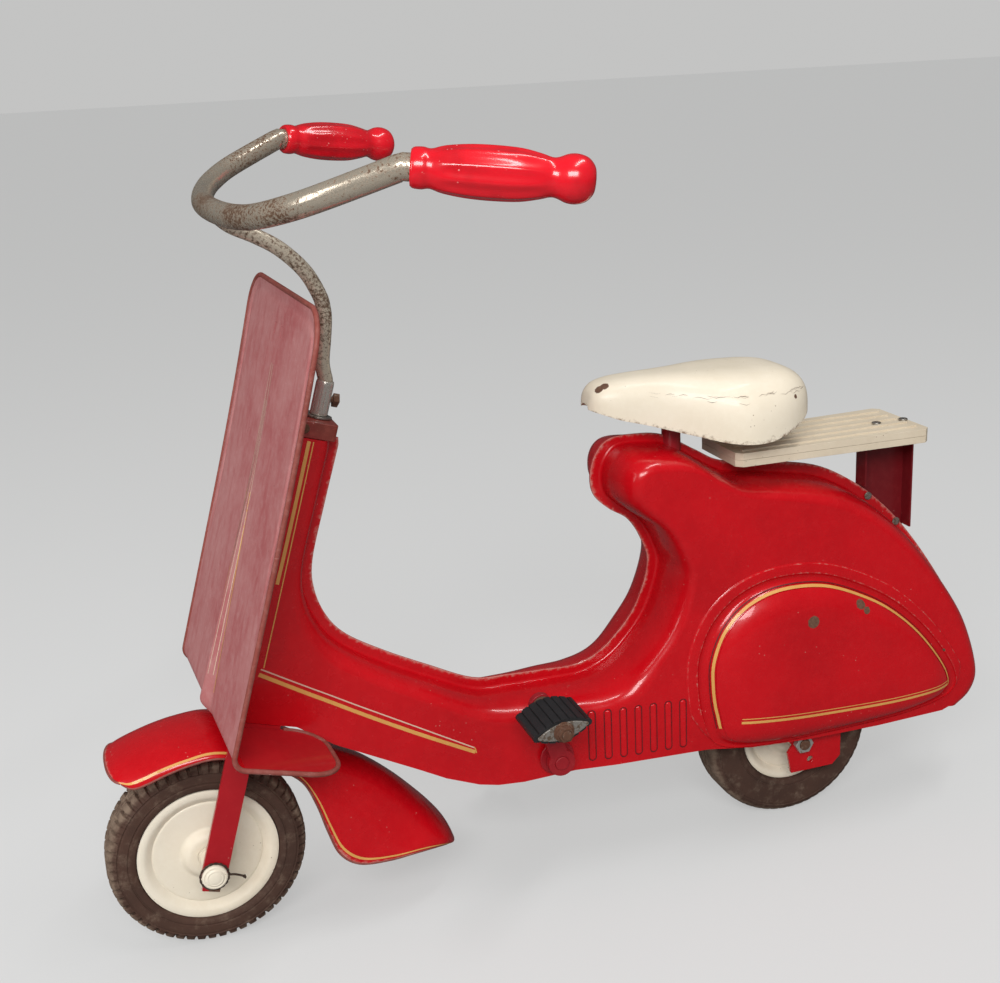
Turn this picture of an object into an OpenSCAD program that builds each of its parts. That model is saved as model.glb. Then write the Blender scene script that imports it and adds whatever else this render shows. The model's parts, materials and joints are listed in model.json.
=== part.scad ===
/* [Wheels] */
// Outside diameter of both tyres
wheel_d = 160; // [152:1:168]
// Distance between the two axles
wheelbase = 527; // [515:1:540]
// Width of the front tyre
front_tyre_w = 37; // [30:1:42]
// Width of the rear tyre
rear_tyre_w = 40; // [34:1:42]
// Diameter of the white front wheel disc
front_disc_d = 113; // [104:1:118]
// Diameter of the white rear wheel disc
rear_disc_d = 92; // [84:1:98]
// Number of tread blocks round the front tyre
tread_blocks = 32; // [24:4:36]

/* [Steering] */
// Rearward lean of the steering column, degrees
rake = 17; // [14:0.5:20]
// How far the front axle lies ahead of the steering axis
fork_offset = 16.7; // [12:0.1:20]
// Width of the flat fork blades
fork_blade_w = 20; // [16:1:24]
// Distance between the insides of the fork blades
fork_gap = 92; // [90:1:100]
// Thickness of the fork strap
fork_t = 4; // [3:0.5:5]
// Diameter of the steering column
column_d = 14; // [13.5:0.5:15.5]
// Inner radius of the front mudguard's crown about the axle
mudguard_r = 106; // [102:1:107]

/* [Handlebar] */
// Diameter of the handlebar tube
bar_d = 17; // [15:0.5:18]
// Diameter of the bent stem
stem_d = 11.5; // [9.5:0.5:11.5]
// Sideways distance from the middle to the start of a grip
bar_reach = 213; // [190:1:230]
// Length of a grip
grip_len = 111; // [95:1:120]
// Largest diameter of a grip
grip_d = 33; // [28:1:36]

/* [Body] */
// Thickness of the pressed sheet
sheet_t = 1.2; // [1:0.1:1.6]
// Width of the joining flange round the half shells
flange_w = 8; // [6:0.5:9]
// Half width of the steering head housing
neck_hw = 24; // [22.5:0.5:27]
// Half width of the tail
tail_hw = 52; // [50:1:58]
// Height of the step-through tunnel at its flange
tunnel_z = 181; // [176:0.5:188]
// Height of the body's lower edge at the knee
belly_z = 100; // [94:1:104]
// Height of the body under the saddle
seat_z = 376.5; // [368:0.5:390]
// How far the tail reaches behind the rear axle
tail_over = 195; // [185:1:205]
// How far each engine cover stands out from the side
cover_out = 17; // [12:1:22]
// Number of pressed louvres on each side
louvres = 7; // [5:1:7]

/* [Legshield] */
// Half width of the legshield
shield_hw = 108; // [100:1:114]
// Top of the legshield, measured along the column from the axle's level
shield_top = 456; // [436:1:470]
// Angle by which the legshield stands askew on the column, degrees
shield_skew = 3; // [0:0.5:4]
// Length of the footboards along the ground
footboard_len = 88; // [80:1:96]
// Height of the pressed prow at the foot of the legshield
prow_h = 6; // [3:0.5:9]

/* [Saddle and pillion] */
// Half width of the saddle
saddle_hw = 60; // [54:1:66]
// Depth of the saddle pan at its widest
saddle_depth = 56; // [50:1:60]
// Length of the pillion plate
pillion_len = 183; // [160:1:190]
// Half width of the pillion plate at its rear end
pillion_hw = 42; // [36:1:46]
// Thickness of each of the two pillion layers
pillion_t = 5.8; // [4:0.2:6]
// Height of the pillion's underside
pillion_z = 345; // [345:1:352]

/* [Drive] */
// Pitch of the roller chain
chain_pitch = 12.7; // [12.7]
// Teeth on the chainwheel
chainwheel_teeth = 16; // [16]
// Teeth on the rear sprocket
sprocket_teeth = 12; // [12]
// Links in each straight run of the chain
run_links = 19; // [19]
// Height of the crank axle above the floor
crank_z = 121; // [118:1:123]
// Length of a crank arm between its centres
crank_len = 58; // [54:1:62]
// Length of a pedal block
pedal_len = 46; // [42:1:52]
// Width of a pedal block
pedal_w = 50; // [46:1:56]
// Thickness of a pedal block at its middle
pedal_t = 19; // [18:0.5:21]

/* [Fits] */
// Radial clearance of everything that turns
run_gap = 0.05; // [0.03:0.01:0.1]
// Gap between pieces that rest on each other
seat_gap = 0.3; // [0.2:0.05:0.4]

/* [Hidden] */
$fn = 64;

paint_red = "#b3131f";
old_white = "#e6dfce";
grip_red = "#c4141c";
bare_steel = "#9a958c";
rust = "#6b4a35";
tyre_rubber = "#3d342e";
black_rubber = "#202022";

// Heights and places that follow from the driving dimensions, measured from the front axle's line
wheel_r = wheel_d / 2;
rear_x = wheelbase;
tail_end = wheelbase + tail_over;
mid_x = (tail_end - wheel_r) / 2;
axis_x = fork_offset * cos(rake);
axis_z = wheel_r - fork_offset * sin(rake);
front_disc_r = front_disc_d / 2;
rear_disc_r = rear_disc_d / 2;
column_r = column_d / 2;
bar_r = bar_d / 2;
stem_r = stem_d / 2;

// Stack of levels along the steering axis, above the level of the axle
guard_top = mudguard_r + sheet_t;
crown_under = guard_top + 0.5;
crown_top = crown_under + fork_t;
foot_under = crown_top + 6;
foot_top = foot_under + sheet_t;
housing_bottom = foot_top + seat_gap;
housing_top = 352;
cap_under = housing_top + seat_gap;
cap_top = housing_top + 13;
bush_flange = 1.6;
bush_r = column_r + 1.3;
collar_under = cap_top + seat_gap + bush_flange + seat_gap;
collar_h = 27;

// Steering head, in the frame that leans with the column
shield_x = -41;
foot_bend = 11;
housing_front = shield_x + 3;
cap_rear = 12;
channel_t = 1.4;
channel_hw = 18;

// Front wheel and fork
axle_r = 5;
hub_r = 9;
hub_hw = 21;
fork_out = fork_gap / 2 + fork_t;
cap_r = 10;
rim_hw = 15.5;
disc_t = 1.2;

// Drive line
chainwheel_r = chain_pitch / (2 * sin(180 / chainwheel_teeth));
sprocket_r = chain_pitch / (2 * sin(180 / sprocket_teeth));
chain_c = sqrt(pow(run_links * chain_pitch, 2) - pow(chainwheel_r - sprocket_r, 2));
crank_drop = crank_z - wheel_r;
crank_x = rear_x - sqrt(pow(chain_c, 2) - pow(crank_drop, 2));
chain_lean = asin(crank_drop / chain_c);
chain_y = 29;
roller_r = 4;
pin_r = 1.8;
plate_t = 1.1;
roller_hw = 1.8;
tooth_hw = 1.4;
crank_lean = 16;
pedal_tilt = 8;
spindle_r = 5;
pedal_tube_r = 6.5;
crank_axle_r = 6;
crank_arm_t = 6;
arm_in = tail_hw + 3;
arm_out = arm_in + crank_arm_t;
pedal_in = arm_out + 4;
pedal_plate_t = 1.6;
pedal_out = pedal_in + pedal_len;
bearing_r = 9.5;
bearing_flange_r = 15;

// Drive frame and seat post
frame_in = 36;
frame_t = 3;
frame_out = frame_in + frame_t;
seat_x = rear_x - 107;
seat_post_r = 8;
socket_r = 10.5;
socket_top = seat_z - 32;
bridge_z = crank_z - 22;
seat_post_top = seat_z + 26;
saddle_top = seat_z + 50.5;
pillion_x = rear_x - 63;
pillion_front_hw = pillion_hw - 6;

function lerp(a, b, t) = a + (b - a) * t;
function unit(v) = v / norm(v);
function blend4(a, b, c, d, t) =
  0.5 * (2 * b + (c - a) * t + (2 * a - 5 * b + 4 * c - d) * t * t + (3 * b - a - 3 * c + d) * t * t * t);
// Smooth curve through a list of points, n steps between each pair
function smooth(p, n) = [
  for (i = [0 : len(p) - 2])
    for (k = [0 : n - 1])
      blend4(p[max(i - 1, 0)], p[i], p[i + 1], p[min(i + 2, len(p) - 1)], k / n),
  p[len(p) - 1]];
function smooth_ring(p, n) = let (m = len(p)) [
  for (i = [0 : m - 1])
    for (k = [0 : n - 1])
      blend4(p[(i + m - 1) % m], p[i], p[(i + 1) % m], p[(i + 2) % m], k / n)];
// A point given along and across the steering axis, as [x, z] of the whole scooter
function neck(xp, zp) = [
  axis_x + xp * cos(rake) + zp * sin(rake),
  axis_z - xp * sin(rake) + zp * cos(rake)];

module placed() translate([-mid_x, 0, 0]) children();
module steer_frame() translate([axis_x, 0, axis_z]) rotate([0, rake, 0]) children();
module front_axle_frame() translate([0, 0, wheel_r]) rotate([90, 0, 0]) children();
module rear_axle_frame() translate([rear_x, 0, wheel_r]) rotate([90, 0, 0]) children();
module crank_frame() translate([crank_x, 0, crank_z]) rotate([90, 0, 0]) children();
// Along the chain: origin on the crank axle, X towards the rear axle, Z across the chain
module chain_frame() translate([crank_x, chain_y, crank_z]) rotate([90, 0, 0]) rotate([0, 0, -chain_lean]) children();
module skew_frame() steer_frame() rotate([0, 0, shield_skew]) children();
module both_sides() {
  children();
  mirror([0, 1, 0]) children();
}
// A cylinder along Y between two distances from the mid-plane
module along_y(x, z, y0, y1, r) translate([x, y0, z]) rotate([-90, 0, 0]) cylinder(h = y1 - y0, r = r);
module ring(r_out, r_in, h) rotate_extrude() translate([r_in, 0]) square([r_out - r_in, h]);

function flip(f) = [for (i = [len(f) - 1 : -1 : 0]) f[i]];
// Faces of a tube-like skin: rows of equal length, closed across each row, capped at both ends
function tube_faces(rows, cols) = concat(
  [for (i = [0 : rows - 2]) for (j = [0 : cols - 1])
    [i * cols + j, i * cols + (j + 1) % cols, (i + 1) * cols + (j + 1) % cols]],
  [for (i = [0 : rows - 2]) for (j = [0 : cols - 1])
    [i * cols + j, (i + 1) * cols + (j + 1) % cols, (i + 1) * cols + j]],
  [[for (j = [cols - 1 : -1 : 0]) j]],
  [[for (j = [0 : cols - 1]) (rows - 1) * cols + j]]);
// Directions square to a path, carried along it without twist
function carried(t, a, i = 0) =
  i == len(t) ? [] : let (b = unit(a - (a * t[i]) * t[i])) concat([b], carried(t, b, i + 1));
// A round bar swept along a path; side is any direction square to its start
module swept_bar(path, r, sides, side) {
  n = len(path);
  t = [for (i = [0 : n - 1]) unit(path[min(i + 1, n - 1)] - path[max(i - 1, 0)])];
  a = carried(t, side);
  pts = [
    for (i = [0 : n - 1]) for (j = [0 : sides - 1])
      path[i] + r * (cos(360 * j / sides) * a[i] + sin(360 * j / sides) * cross(t[i], a[i]))];
  polyhedron(points = pts, faces = [for (f = tube_faces(n, sides)) flip(f)]);
}
// A pressed sheet: rows of outer points and the matching rows of inner points
module pressed_sheet(outer, inner) {
  rows = len(outer);
  half = len(outer[0]);
  cols = 2 * half;
  pts = [for (i = [0 : rows - 1]) for (p = concat(outer[i], [for (k = [half - 1 : -1 : 0]) inner[i][k]])) p];
  polyhedron(points = pts, faces = concat(
    [for (i = [0 : rows - 2]) for (j = [0 : cols - 1])
      for (f = [[i * cols + j, i * cols + (j + 1) % cols, (i + 1) * cols + (j + 1) % cols],
        [i * cols + j, (i + 1) * cols + (j + 1) % cols, (i + 1) * cols + j]]) f],
    [for (k = [0 : half - 2]) for (f = [[k, cols - 1 - k, cols - 2 - k], [k, cols - 2 - k, k + 1]]) f],
    [for (k = [0 : half - 2]) let (e = (rows - 1) * cols)
      for (f = [[e + k, e + cols - 2 - k, e + cols - 1 - k], [e + k, e + k + 1, e + cols - 2 - k]]) f]));
}

// Body half shells
// Outer edge of the joining flange and the edge of the flat side, point for point,
// from the top of the head housing, down the column, along the tunnel and over the tail
nose_x = seat_x - 75;
body_line = [
  [neck(19, housing_top), neck(1, housing_top)],
  [neck(20, housing_top - 4), neck(1, housing_top - 5)],
  [neck(20.3, housing_top - 10), neck(1, housing_top - 11)],
  [neck(19.5, 300), neck(1, 300)],
  [neck(19.5, 252), neck(2, 248)],
  [neck(26.4, 227), neck(8, 214)],
  [[rear_x - 411.3, tunnel_z + 79.5], [rear_x - 435, tunnel_z + 69]],
  [[rear_x - 396.5, tunnel_z + 61], [rear_x - 419, tunnel_z + 48]],
  [[rear_x - 367, tunnel_z + 41.5], [rear_x - 381, tunnel_z + 23]],
  [[rear_x - 330.5, tunnel_z + 21.5], [rear_x - 339, tunnel_z]],
  [[rear_x - 293, tunnel_z + 2.8], [rear_x - 297, tunnel_z - 22]],
  [[rear_x - 264, tunnel_z], [rear_x - 261, tunnel_z - 30]],
  [[rear_x - 231.5, tunnel_z - 1.5], [rear_x - 222, tunnel_z - 28]],
  [[rear_x - 203, tunnel_z - 2.5], [rear_x - 186, tunnel_z - 28]],
  [[rear_x - 180, tunnel_z + 4.5], [rear_x - 158, tunnel_z - 18.5]],
  [[rear_x - 159, tunnel_z + 22], [rear_x - 138, tunnel_z + 9]],
  [[rear_x - 142, tunnel_z + 45], [rear_x - 119, tunnel_z + 38]],
  [[rear_x - 131, tunnel_z + 79], [rear_x - 108, tunnel_z + 77]],
  [[rear_x - 137, seat_z - 92.5], [rear_x - 115, seat_z - 95]],
  [[nose_x + 33.3, seat_z - 73.5], [nose_x + 56, seat_z - 73.5]],
  [[nose_x + 16, seat_z - 61.5], [nose_x + 40, seat_z - 54.5]],
  [[nose_x + 3, seat_z - 47.5], [nose_x + 31, seat_z - 41.5]],
  [[nose_x + 0.5, seat_z - 30], [nose_x + 28.5, seat_z - 30.5]],
  [[nose_x + 6, seat_z - 12.5], [nose_x + 32, seat_z - 23]],
  [[nose_x + 18, seat_z - 1.5], [nose_x + 41, seat_z - 21]],
  [[nose_x + 40, seat_z], [nose_x + 56, seat_z - 22]],
  [[nose_x + 67, seat_z - 4], [nose_x + 77, seat_z - 27.5]],
  [[nose_x + 97, seat_z - 21], [nose_x + 101, seat_z - 43.5]],
  [[rear_x - 62, seat_z - 33.5], [rear_x - 59, seat_z - 54.5]],
  [[rear_x - 27, seat_z - 39], [rear_x - 29, seat_z - 61]],
  [[rear_x + 30, seat_z - 50.5], [rear_x + 18, seat_z - 74]],
  [[rear_x + 70, seat_z - 71.5], [rear_x + 53, seat_z - 92.5]],
  [[tail_end - 94, seat_z - 97], [tail_end - 114, seat_z - 116.5]],
  [[tail_end - 69, seat_z - 124], [tail_end - 90, seat_z - 142.5]],
  [[tail_end - 43, seat_z - 159], [tail_end - 67, seat_z - 171.5]],
  [[tail_end - 20.5, seat_z - 195], [tail_end - 48, seat_z - 202.5]],
  [[tail_end - 6, seat_z - 231.5], [tail_end - 36, seat_z - 233.5]],
  [[tail_end, seat_z - 261.5], [tail_end - 31, seat_z - 257.5]],
  [[tail_end - 6, seat_z - 281], [tail_end - 37, seat_z - 272.5]],
  [[tail_end - 20, seat_z - 289.5], [tail_end - 50, seat_z - 284.5]]];
line_steps = 2;
taper_from = 7;
taper_to = 13;
rim_line = smooth([for (p = body_line) p[0]], line_steps);
face_line = smooth([for (p = body_line) p[1]], line_steps);
taper_x0 = body_line[taper_from][1][0];
taper_x1 = body_line[taper_to][1][0];
function side_y(x) = lerp(neck_hw, tail_hw, min(1, max(0, (x - taper_x0) / (taper_x1 - taper_x0))));
function station_y(i) = i <= taper_from * line_steps ? neck_hw : side_y(face_line[i][0]);
// Lower edge of the side, from the tail forward and up behind the legshield
lower_line = [
  [tail_end - 57, belly_z - 10.5], [rear_x + 70, belly_z - 12], [rear_x, belly_z - 11],
  [rear_x - 57, belly_z - 7], [rear_x - 100, belly_z], [taper_x1, belly_z + 4],
  [rear_x - 221, belly_z + 4.5], [rear_x - 265, belly_z + 0.5], [rear_x - 287, belly_z + 1],
  [rear_x - 303, belly_z + 4], [rear_x - 330, belly_z + 14], [rear_x - 353, belly_z + 26],
  [taper_x0, belly_z + 59],
  neck(30, housing_bottom), neck(shield_x + foot_bend + 2, housing_bottom),
  neck(housing_front, foot_under + foot_bend + 2), neck(housing_front, housing_top)];
lower_split_tail = 5;
lower_split_neck = 12;
// Middles of the neck, the taper and the tail; each sees the whole edge of its part of the flat side
side_mids = [[rear_x - 476, tunnel_z + 72], [rear_x - 308, belly_z + 26], [rear_x + 86, belly_z + 48]];

// Pressed section across the rim: [distance in from the flange's edge, distance from the mid-plane]
corner_power = 0.8;
corner_angles = [0, 14, 36, 60, 80, 90];
function outer_section(d, w) = let (s = flange_w + 1.8, y = sheet_t + 3) concat(
  [[0, sheet_t], [flange_w, sheet_t], [flange_w + 1.2, sheet_t + 0.8]],
  [for (a = corner_angles)
    [s + (d - s) * (1 - pow(max(cos(a), 0), corner_power)), y + (w - y) * pow(sin(a), corner_power)]]);
function inner_section(d, w) = let (s = flange_w + 1.8 + sheet_t, y = sheet_t + 2.7) concat(
  [[0, 0], [flange_w + 0.6 * sheet_t, 0], [flange_w + 1.2 + 0.8 * sheet_t, 0.5]],
  [for (a = corner_angles)
    [s + (d - s) * (1 - pow(max(cos(a), 0), corner_power)), y + (w - sheet_t - y) * pow(sin(a), corner_power)]]);
section_rows = 3 + len(corner_angles);
stations = len(rim_line);

function skin_points(inside) = concat(
  [for (r = [0 : section_rows - 1]) for (i = [0 : stations - 1])
    let (a = rim_line[i], b = face_line[i], d = norm(b - a), u = (b - a) / d)
    let (q = inside ? inner_section(d, station_y(i))[r] : outer_section(d, station_y(i))[r])
    [a[0] + u[0] * q[0], -q[1], a[1] + u[1] * q[0]]],
  [for (i = [0 : len(lower_line) - 1])
    let (w = i > lower_split_neck ? neck_hw : side_y(lower_line[i][0]))
    [lower_line[i][0], -(inside ? w - sheet_t : w), lower_line[i][1]]],
  [for (p = side_mids) let (w = side_y(p[0])) [p[0], -(inside ? w - sheet_t : w), p[1]]]);
function seq(a, b) = a <= b ? [for (i = [a : b]) i] : [for (i = [a : -1 : b]) i];
// Index helpers of one skin: last row is the edge of the flat side, then come the lower line and the middles
edge0 = (section_rows - 1) * stations;
low0 = section_rows * stations;
mid0 = low0 + len(lower_line);
skin_size = mid0 + len(side_mids);
cut_a = edge0 + taper_from * line_steps;
cut_b = edge0 + taper_to * line_steps;
function shift(list, k) = [for (v = list) v + k];
function spokes(mid, loop) = [for (k = [0 : len(loop) - 1]) [mid, loop[k], loop[(k + 1) % len(loop)]]];
skin_faces = concat(
  [for (r = [0 : section_rows - 2]) for (i = [0 : stations - 2])
    [r * stations + i, r * stations + i + 1, (r + 1) * stations + i + 1]],
  [for (r = [0 : section_rows - 2]) for (i = [0 : stations - 2])
    [r * stations + i, (r + 1) * stations + i + 1, (r + 1) * stations + i]],
  spokes(mid0, concat(seq(edge0, cut_a), seq(low0 + lower_split_neck, mid0 - 1))),
  spokes(mid0 + 1, concat(seq(cut_a, cut_b), seq(low0 + lower_split_tail, low0 + lower_split_neck))),
  spokes(mid0 + 2, concat(seq(cut_b, low0 - 1), seq(low0, low0 + lower_split_tail))));
border = concat(
  seq(0, stations - 1),
  [for (r = [1 : section_rows - 1]) r * stations + stations - 1],
  seq(low0, mid0 - 1),
  [for (r = [section_rows - 1 : -1 : 1]) r * stations]);
border_faces = [
  for (k = [0 : len(border) - 1])
    let (a = border[k], b = border[(k + 1) % len(border)])
    for (f = [[a, a + skin_size, b + skin_size], [a, b + skin_size, b]]) f];

// Engine cover: a blister pressed out of the side, inside a low raised band
cover_line = smooth_ring([
  [rear_x - 108, 166], [rear_x - 106, 190], [rear_x - 94, 217], [rear_x - 70, 238], [rear_x - 36, 247.5],
  [rear_x + 9, 243.5], [rear_x + 54, 224], [rear_x + 88, 201], [rear_x + 121, 168], [rear_x + 148, 127],
  [rear_x + 143, 106], [rear_x + 100, 96], [rear_x + 30, 93], [rear_x - 50, 94], [rear_x - 92, 104],
  [rear_x - 104, 134]], 2);
cover_mid = [rear_x + 10, 158];
cover_steps = [[1.0, 0], [0.965, 0.3], [0.92, 0.62], [0.85, 0.85], [0.74, 0.96], [0.55, 1.0]];
cover_band_w = 11;
cover_band_out = 1;
// The band dies out towards the cover's foot
function band_share(z) = min(1, max(0, (z - 110) / 26));
// Rings round the cover: [share of the way out from its middle, extra way outward, that of the band, distance from the mid-plane]
module cover_rings(rows) {
  pts = [
    for (r = rows) for (p = cover_line)
      let (v = p - cover_mid)
      let (q = cover_mid + v * r[0] + unit(v) * (r[1] + r[2] * band_share(p[1])))
      [q[0], -r[3], q[1]]];
  polyhedron(points = pts, faces = tube_faces(len(rows), len(cover_line)));
}
module cover_blister(grow, low, out)
  cover_rings(concat([[1, grow, 0, low]], [for (s = cover_steps) [s[0], grow, 0, tail_hw + s[1] * out]]));
module cover_band()
  cover_rings([[1, -1.5, cover_band_w + 1.5, tail_hw - sheet_t / 2], [1, -1.5, cover_band_w + 1.5, tail_hw + 0.2],
    [1, -1.5, cover_band_w + 0.5, tail_hw + cover_band_out]]);
louvre_pitch = 13.8;
louvre_w = 5.4;
louvre_x = rear_x - 206;
module louvre_row() {
  for (i = [0 : louvres - 1]) {
    x = louvre_x + i * louvre_pitch;
    z0 = belly_z + 14.5 - i * 0.65;
    z1 = belly_z + 48.5;
    y = side_y(x);
    translate([x, -y + 0.4, 0]) rotate([90, 0, 0]) linear_extrude(1.4) {
      translate([-louvre_w / 2, z0]) square([louvre_w, z1 - z0]);
      translate([0, z0]) circle(louvre_w / 2, $fn = 8);
      translate([0, z1]) circle(louvre_w / 2, $fn = 8);
    }
  }
}
// Clearance holes in the pressed skin are polygons that keep the stated radius clear
hole_sides = 12;
function clear_r(r) = r / cos(180 / hole_sides);
module half_shell() {
  difference() {
    union() {
      polyhedron(
        points = concat(skin_points(false), skin_points(true)),
        faces = concat(
          border_faces,
          skin_faces,
          [for (f = skin_faces) flip(shift(f, skin_size))]));
      cover_blister(0, tail_hw - sheet_t / 2, cover_out);
      cover_band();
      louvre_row();
    }
    cover_blister(-sheet_t, tail_hw - 3, cover_out - sheet_t);
    along_y(crank_x, crank_z, -tail_hw, 0, clear_r(bearing_r + seat_gap), $fn = hole_sides);
    translate([seat_x, 0, seat_z - 60]) cylinder(h = 80, r = clear_r(seat_post_r + seat_gap), $fn = hole_sides);
    for (r = rivets) along_y(r[0], r[1], -sheet_t - 1, 1, clear_r(rivet_r + seat_gap), $fn = hole_sides);
  }
}
module body_shell_left() color(paint_red) placed() half_shell();
module body_shell_right() color(paint_red) placed() mirror([0, 1, 0]) half_shell();

// Legshield and footboards, one pressed sheet with a rolled edge
bead_r = 2;
shield_corner = 28;
leaf_in = 31;
leaf_corner = 27;
prow_top = 330;
bow = 4.6;
bow_from = 270;
bend_top = foot_under + foot_bend;
function shield_bow(z) = z < bow_from ? 0 : bow * pow((z - bow_from) / (shield_top - bow_from), 2);
function prow_share(z) = max(0, min(1, (prow_top - z) / (prow_top - bend_top)));
function prow_hw(z) = 5 + 11 * prow_share(z);
function prow(y, z) = prow_h * prow_share(z) * max(0, 1 - abs(y) / prow_hw(z));
// Half width of the shield at a height, narrowing round its upper corners
function shield_w(z) = let (k = z - (shield_top - shield_corner))
  shield_hw - (k <= 0 ? 0 : shield_corner - sqrt(max(0, shield_corner * shield_corner - k * k)));
// Side view of the sheet: [rearward, up, slope of its outer face in degrees], footboard first
shield_profile = concat(
  [for (a = [0 : 22.5 : 90]) [shield_x + foot_bend * (1 - sin(a)), foot_under + foot_bend * (1 - cos(a)), a]],
  [for (k = [1 : 6]) [shield_x, lerp(bend_top, prow_top, k / 6), 90]],
  [for (k = [1 : 3]) let (z = lerp(prow_top, shield_top - shield_corner, k / 3)) [shield_x - shield_bow(z), z, 90]],
  [for (a = [22, 45, 65, 90]) let (z = shield_top - shield_corner + shield_corner * sin(a))
    [shield_x - shield_bow(z), z, 90]]);
function shield_row(p, t) = let (w = shield_w(p[1]), k = prow_hw(p[1]))
  [for (y = [-w, -0.72 * w, -0.42 * w, -k, -k / 2, 0, k / 2, k, 0.42 * w, 0.72 * w, w])
    [p[0] - (prow(y, p[1]) - t) * sin(p[2]), y, p[1] + t * cos(p[2])]];
leaf_end = shield_x + footboard_len;
// Edge of the sheet from the inside of one footboard, round it and up the shield to the middle
edge_mid = sheet_t / 2;
function leaf_arc(y, a) = [leaf_end - leaf_corner + leaf_corner * cos(a), y + leaf_corner * sin(a), foot_under + edge_mid];
edge_path = concat(
  [[cap_rear + 4, leaf_in, foot_under + edge_mid]],
  [for (a = [-90 : 30 : 0]) leaf_arc(leaf_in + leaf_corner, a)],
  [for (a = [0 : 30 : 90]) leaf_arc(shield_hw - leaf_corner, a)],
  [for (a = [0 : 30 : 90]) [
    shield_x + foot_bend - (foot_bend - edge_mid) * sin(a), shield_hw, foot_under + foot_bend - (foot_bend - edge_mid) * cos(a)]],
  [for (k = [1 : 7]) let (z = lerp(bend_top, shield_top - shield_corner, k / 7))
    [shield_x + edge_mid - shield_bow(z), shield_hw, z]],
  [for (a = [18 : 18 : 90]) let (z = shield_top - shield_corner + shield_corner * sin(a))
    [shield_x + edge_mid - shield_bow(z), shield_hw - shield_corner + shield_corner * cos(a), z]],
  [[shield_x + edge_mid - shield_bow(shield_top), 0, shield_top]]);
module leaf_outline() {
  x0 = shield_x + foot_bend - 0.2;
  translate([x0, leaf_in]) square([leaf_end - leaf_corner - x0, shield_hw - leaf_in]);
  translate([x0, leaf_in + leaf_corner]) square([leaf_end - x0, shield_hw - leaf_in - 2 * leaf_corner]);
  for (y = [leaf_in + leaf_corner, shield_hw - leaf_corner])
    translate([leaf_end - leaf_corner, y]) circle(leaf_corner, $fn = 48);
}
shield_slot_z = 421;
slot_h = 9;
module legshield() color(paint_red) placed() skew_frame() {
  difference() {
    union() {
      pressed_sheet([for (p = shield_profile) shield_row(p, 0)], [for (p = shield_profile) shield_row(p, sheet_t)]);
      translate([0, 0, foot_under]) linear_extrude(sheet_t) {
        translate([shield_x + foot_bend - 0.2, -leaf_in - 1])
          square([cap_rear + 4 - shield_x - foot_bend, 2 * leaf_in + 2]);
        leaf_outline();
        mirror([0, 1, 0]) leaf_outline();
      }
      swept_bar(edge_path, bead_r, 8, [0, 0, 1]);
      mirror([0, 1, 0]) swept_bar(edge_path, bead_r, 8, [0, 0, 1]);
    }
    translate([0, 0, foot_under - 3]) cylinder(h = 6, r = bush_r + seat_gap);
    for (y = [-10, 10])
      translate([shield_x - 10, y - 1.2, shield_slot_z]) cube([14, 2.4, slot_h]);
  }
}

// Steering head
module head_channel() color(bare_steel) placed() skew_frame()
  translate([0, 0, bend_top]) linear_extrude(housing_top - bend_top - 1) {
    translate([shield_x + sheet_t + seat_gap, -channel_hw]) square([channel_t, 2 * channel_hw]);
    for (y = [-channel_hw, channel_hw - channel_t])
      translate([shield_x + sheet_t + seat_gap, y]) square([abs(shield_x) - sheet_t - seat_gap - 4, channel_t]);
  }
cap_round = 4;
module cap_outline(inset) {
  r = cap_round - inset;
  x0 = housing_front + inset;
  x1 = cap_rear - inset;
  w = neck_hw - inset;
  translate([x0 + r, -w]) square([x1 - x0 - 2 * r, 2 * w]);
  translate([x0, -w + r]) square([x1 - x0, 2 * (w - r)]);
  for (x = [x0 + r, x1 - r])
    for (y = [-w + r, w - r]) translate([x, y]) circle(r);
}
cap_screw_x = -14;
cap_screw_z = cap_under + 7;
cap_screw_r = 2;
module head_cap() color(paint_red) placed() steer_frame()
  difference() {
    translate([0, 0, cap_under]) linear_extrude(cap_top - cap_under) cap_outline(0);
    translate([0, 0, cap_under - 1]) linear_extrude(cap_top - cap_under + 1 - sheet_t) cap_outline(sheet_t);
    translate([0, 0, cap_under]) cylinder(h = 20, r = bush_r + seat_gap);
    translate([cap_screw_x, -neck_hw - 1, cap_screw_z]) rotate([-90, 0, 0])
      cylinder(h = 2 * neck_hw + 2, r = cap_screw_r + seat_gap);
  }
module cap_screws() color(rust) placed() steer_frame() both_sides()
  translate([cap_screw_x, neck_hw - sheet_t - 3, cap_screw_z]) rotate([-90, 0, 0]) {
    cylinder(h = sheet_t + 3 + seat_gap, r = cap_screw_r);
    translate([0, 0, sheet_t + 3 + seat_gap]) cylinder(h = 1.6, r = 3.6);
  }
bush_h = 24;
module bush(flange) difference() {
  union() {
    cylinder(h = bush_h + 0.1, r = bush_r);
    translate([0, 0, bush_h]) cylinder(h = flange, r = bush_r + 2.4);
  }
  translate([0, 0, -1]) cylinder(h = bush_h + flange + 2, r = column_r + run_gap);
}
module upper_bush() color(bare_steel) placed() steer_frame()
  translate([0, 0, cap_top + seat_gap - bush_h]) bush(bush_flange);
module lower_bush() color(bare_steel) placed() steer_frame()
  translate([0, 0, foot_under - seat_gap + bush_h]) mirror([0, 0, 1]) bush(foot_under - crown_top - 2 * seat_gap);

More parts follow.
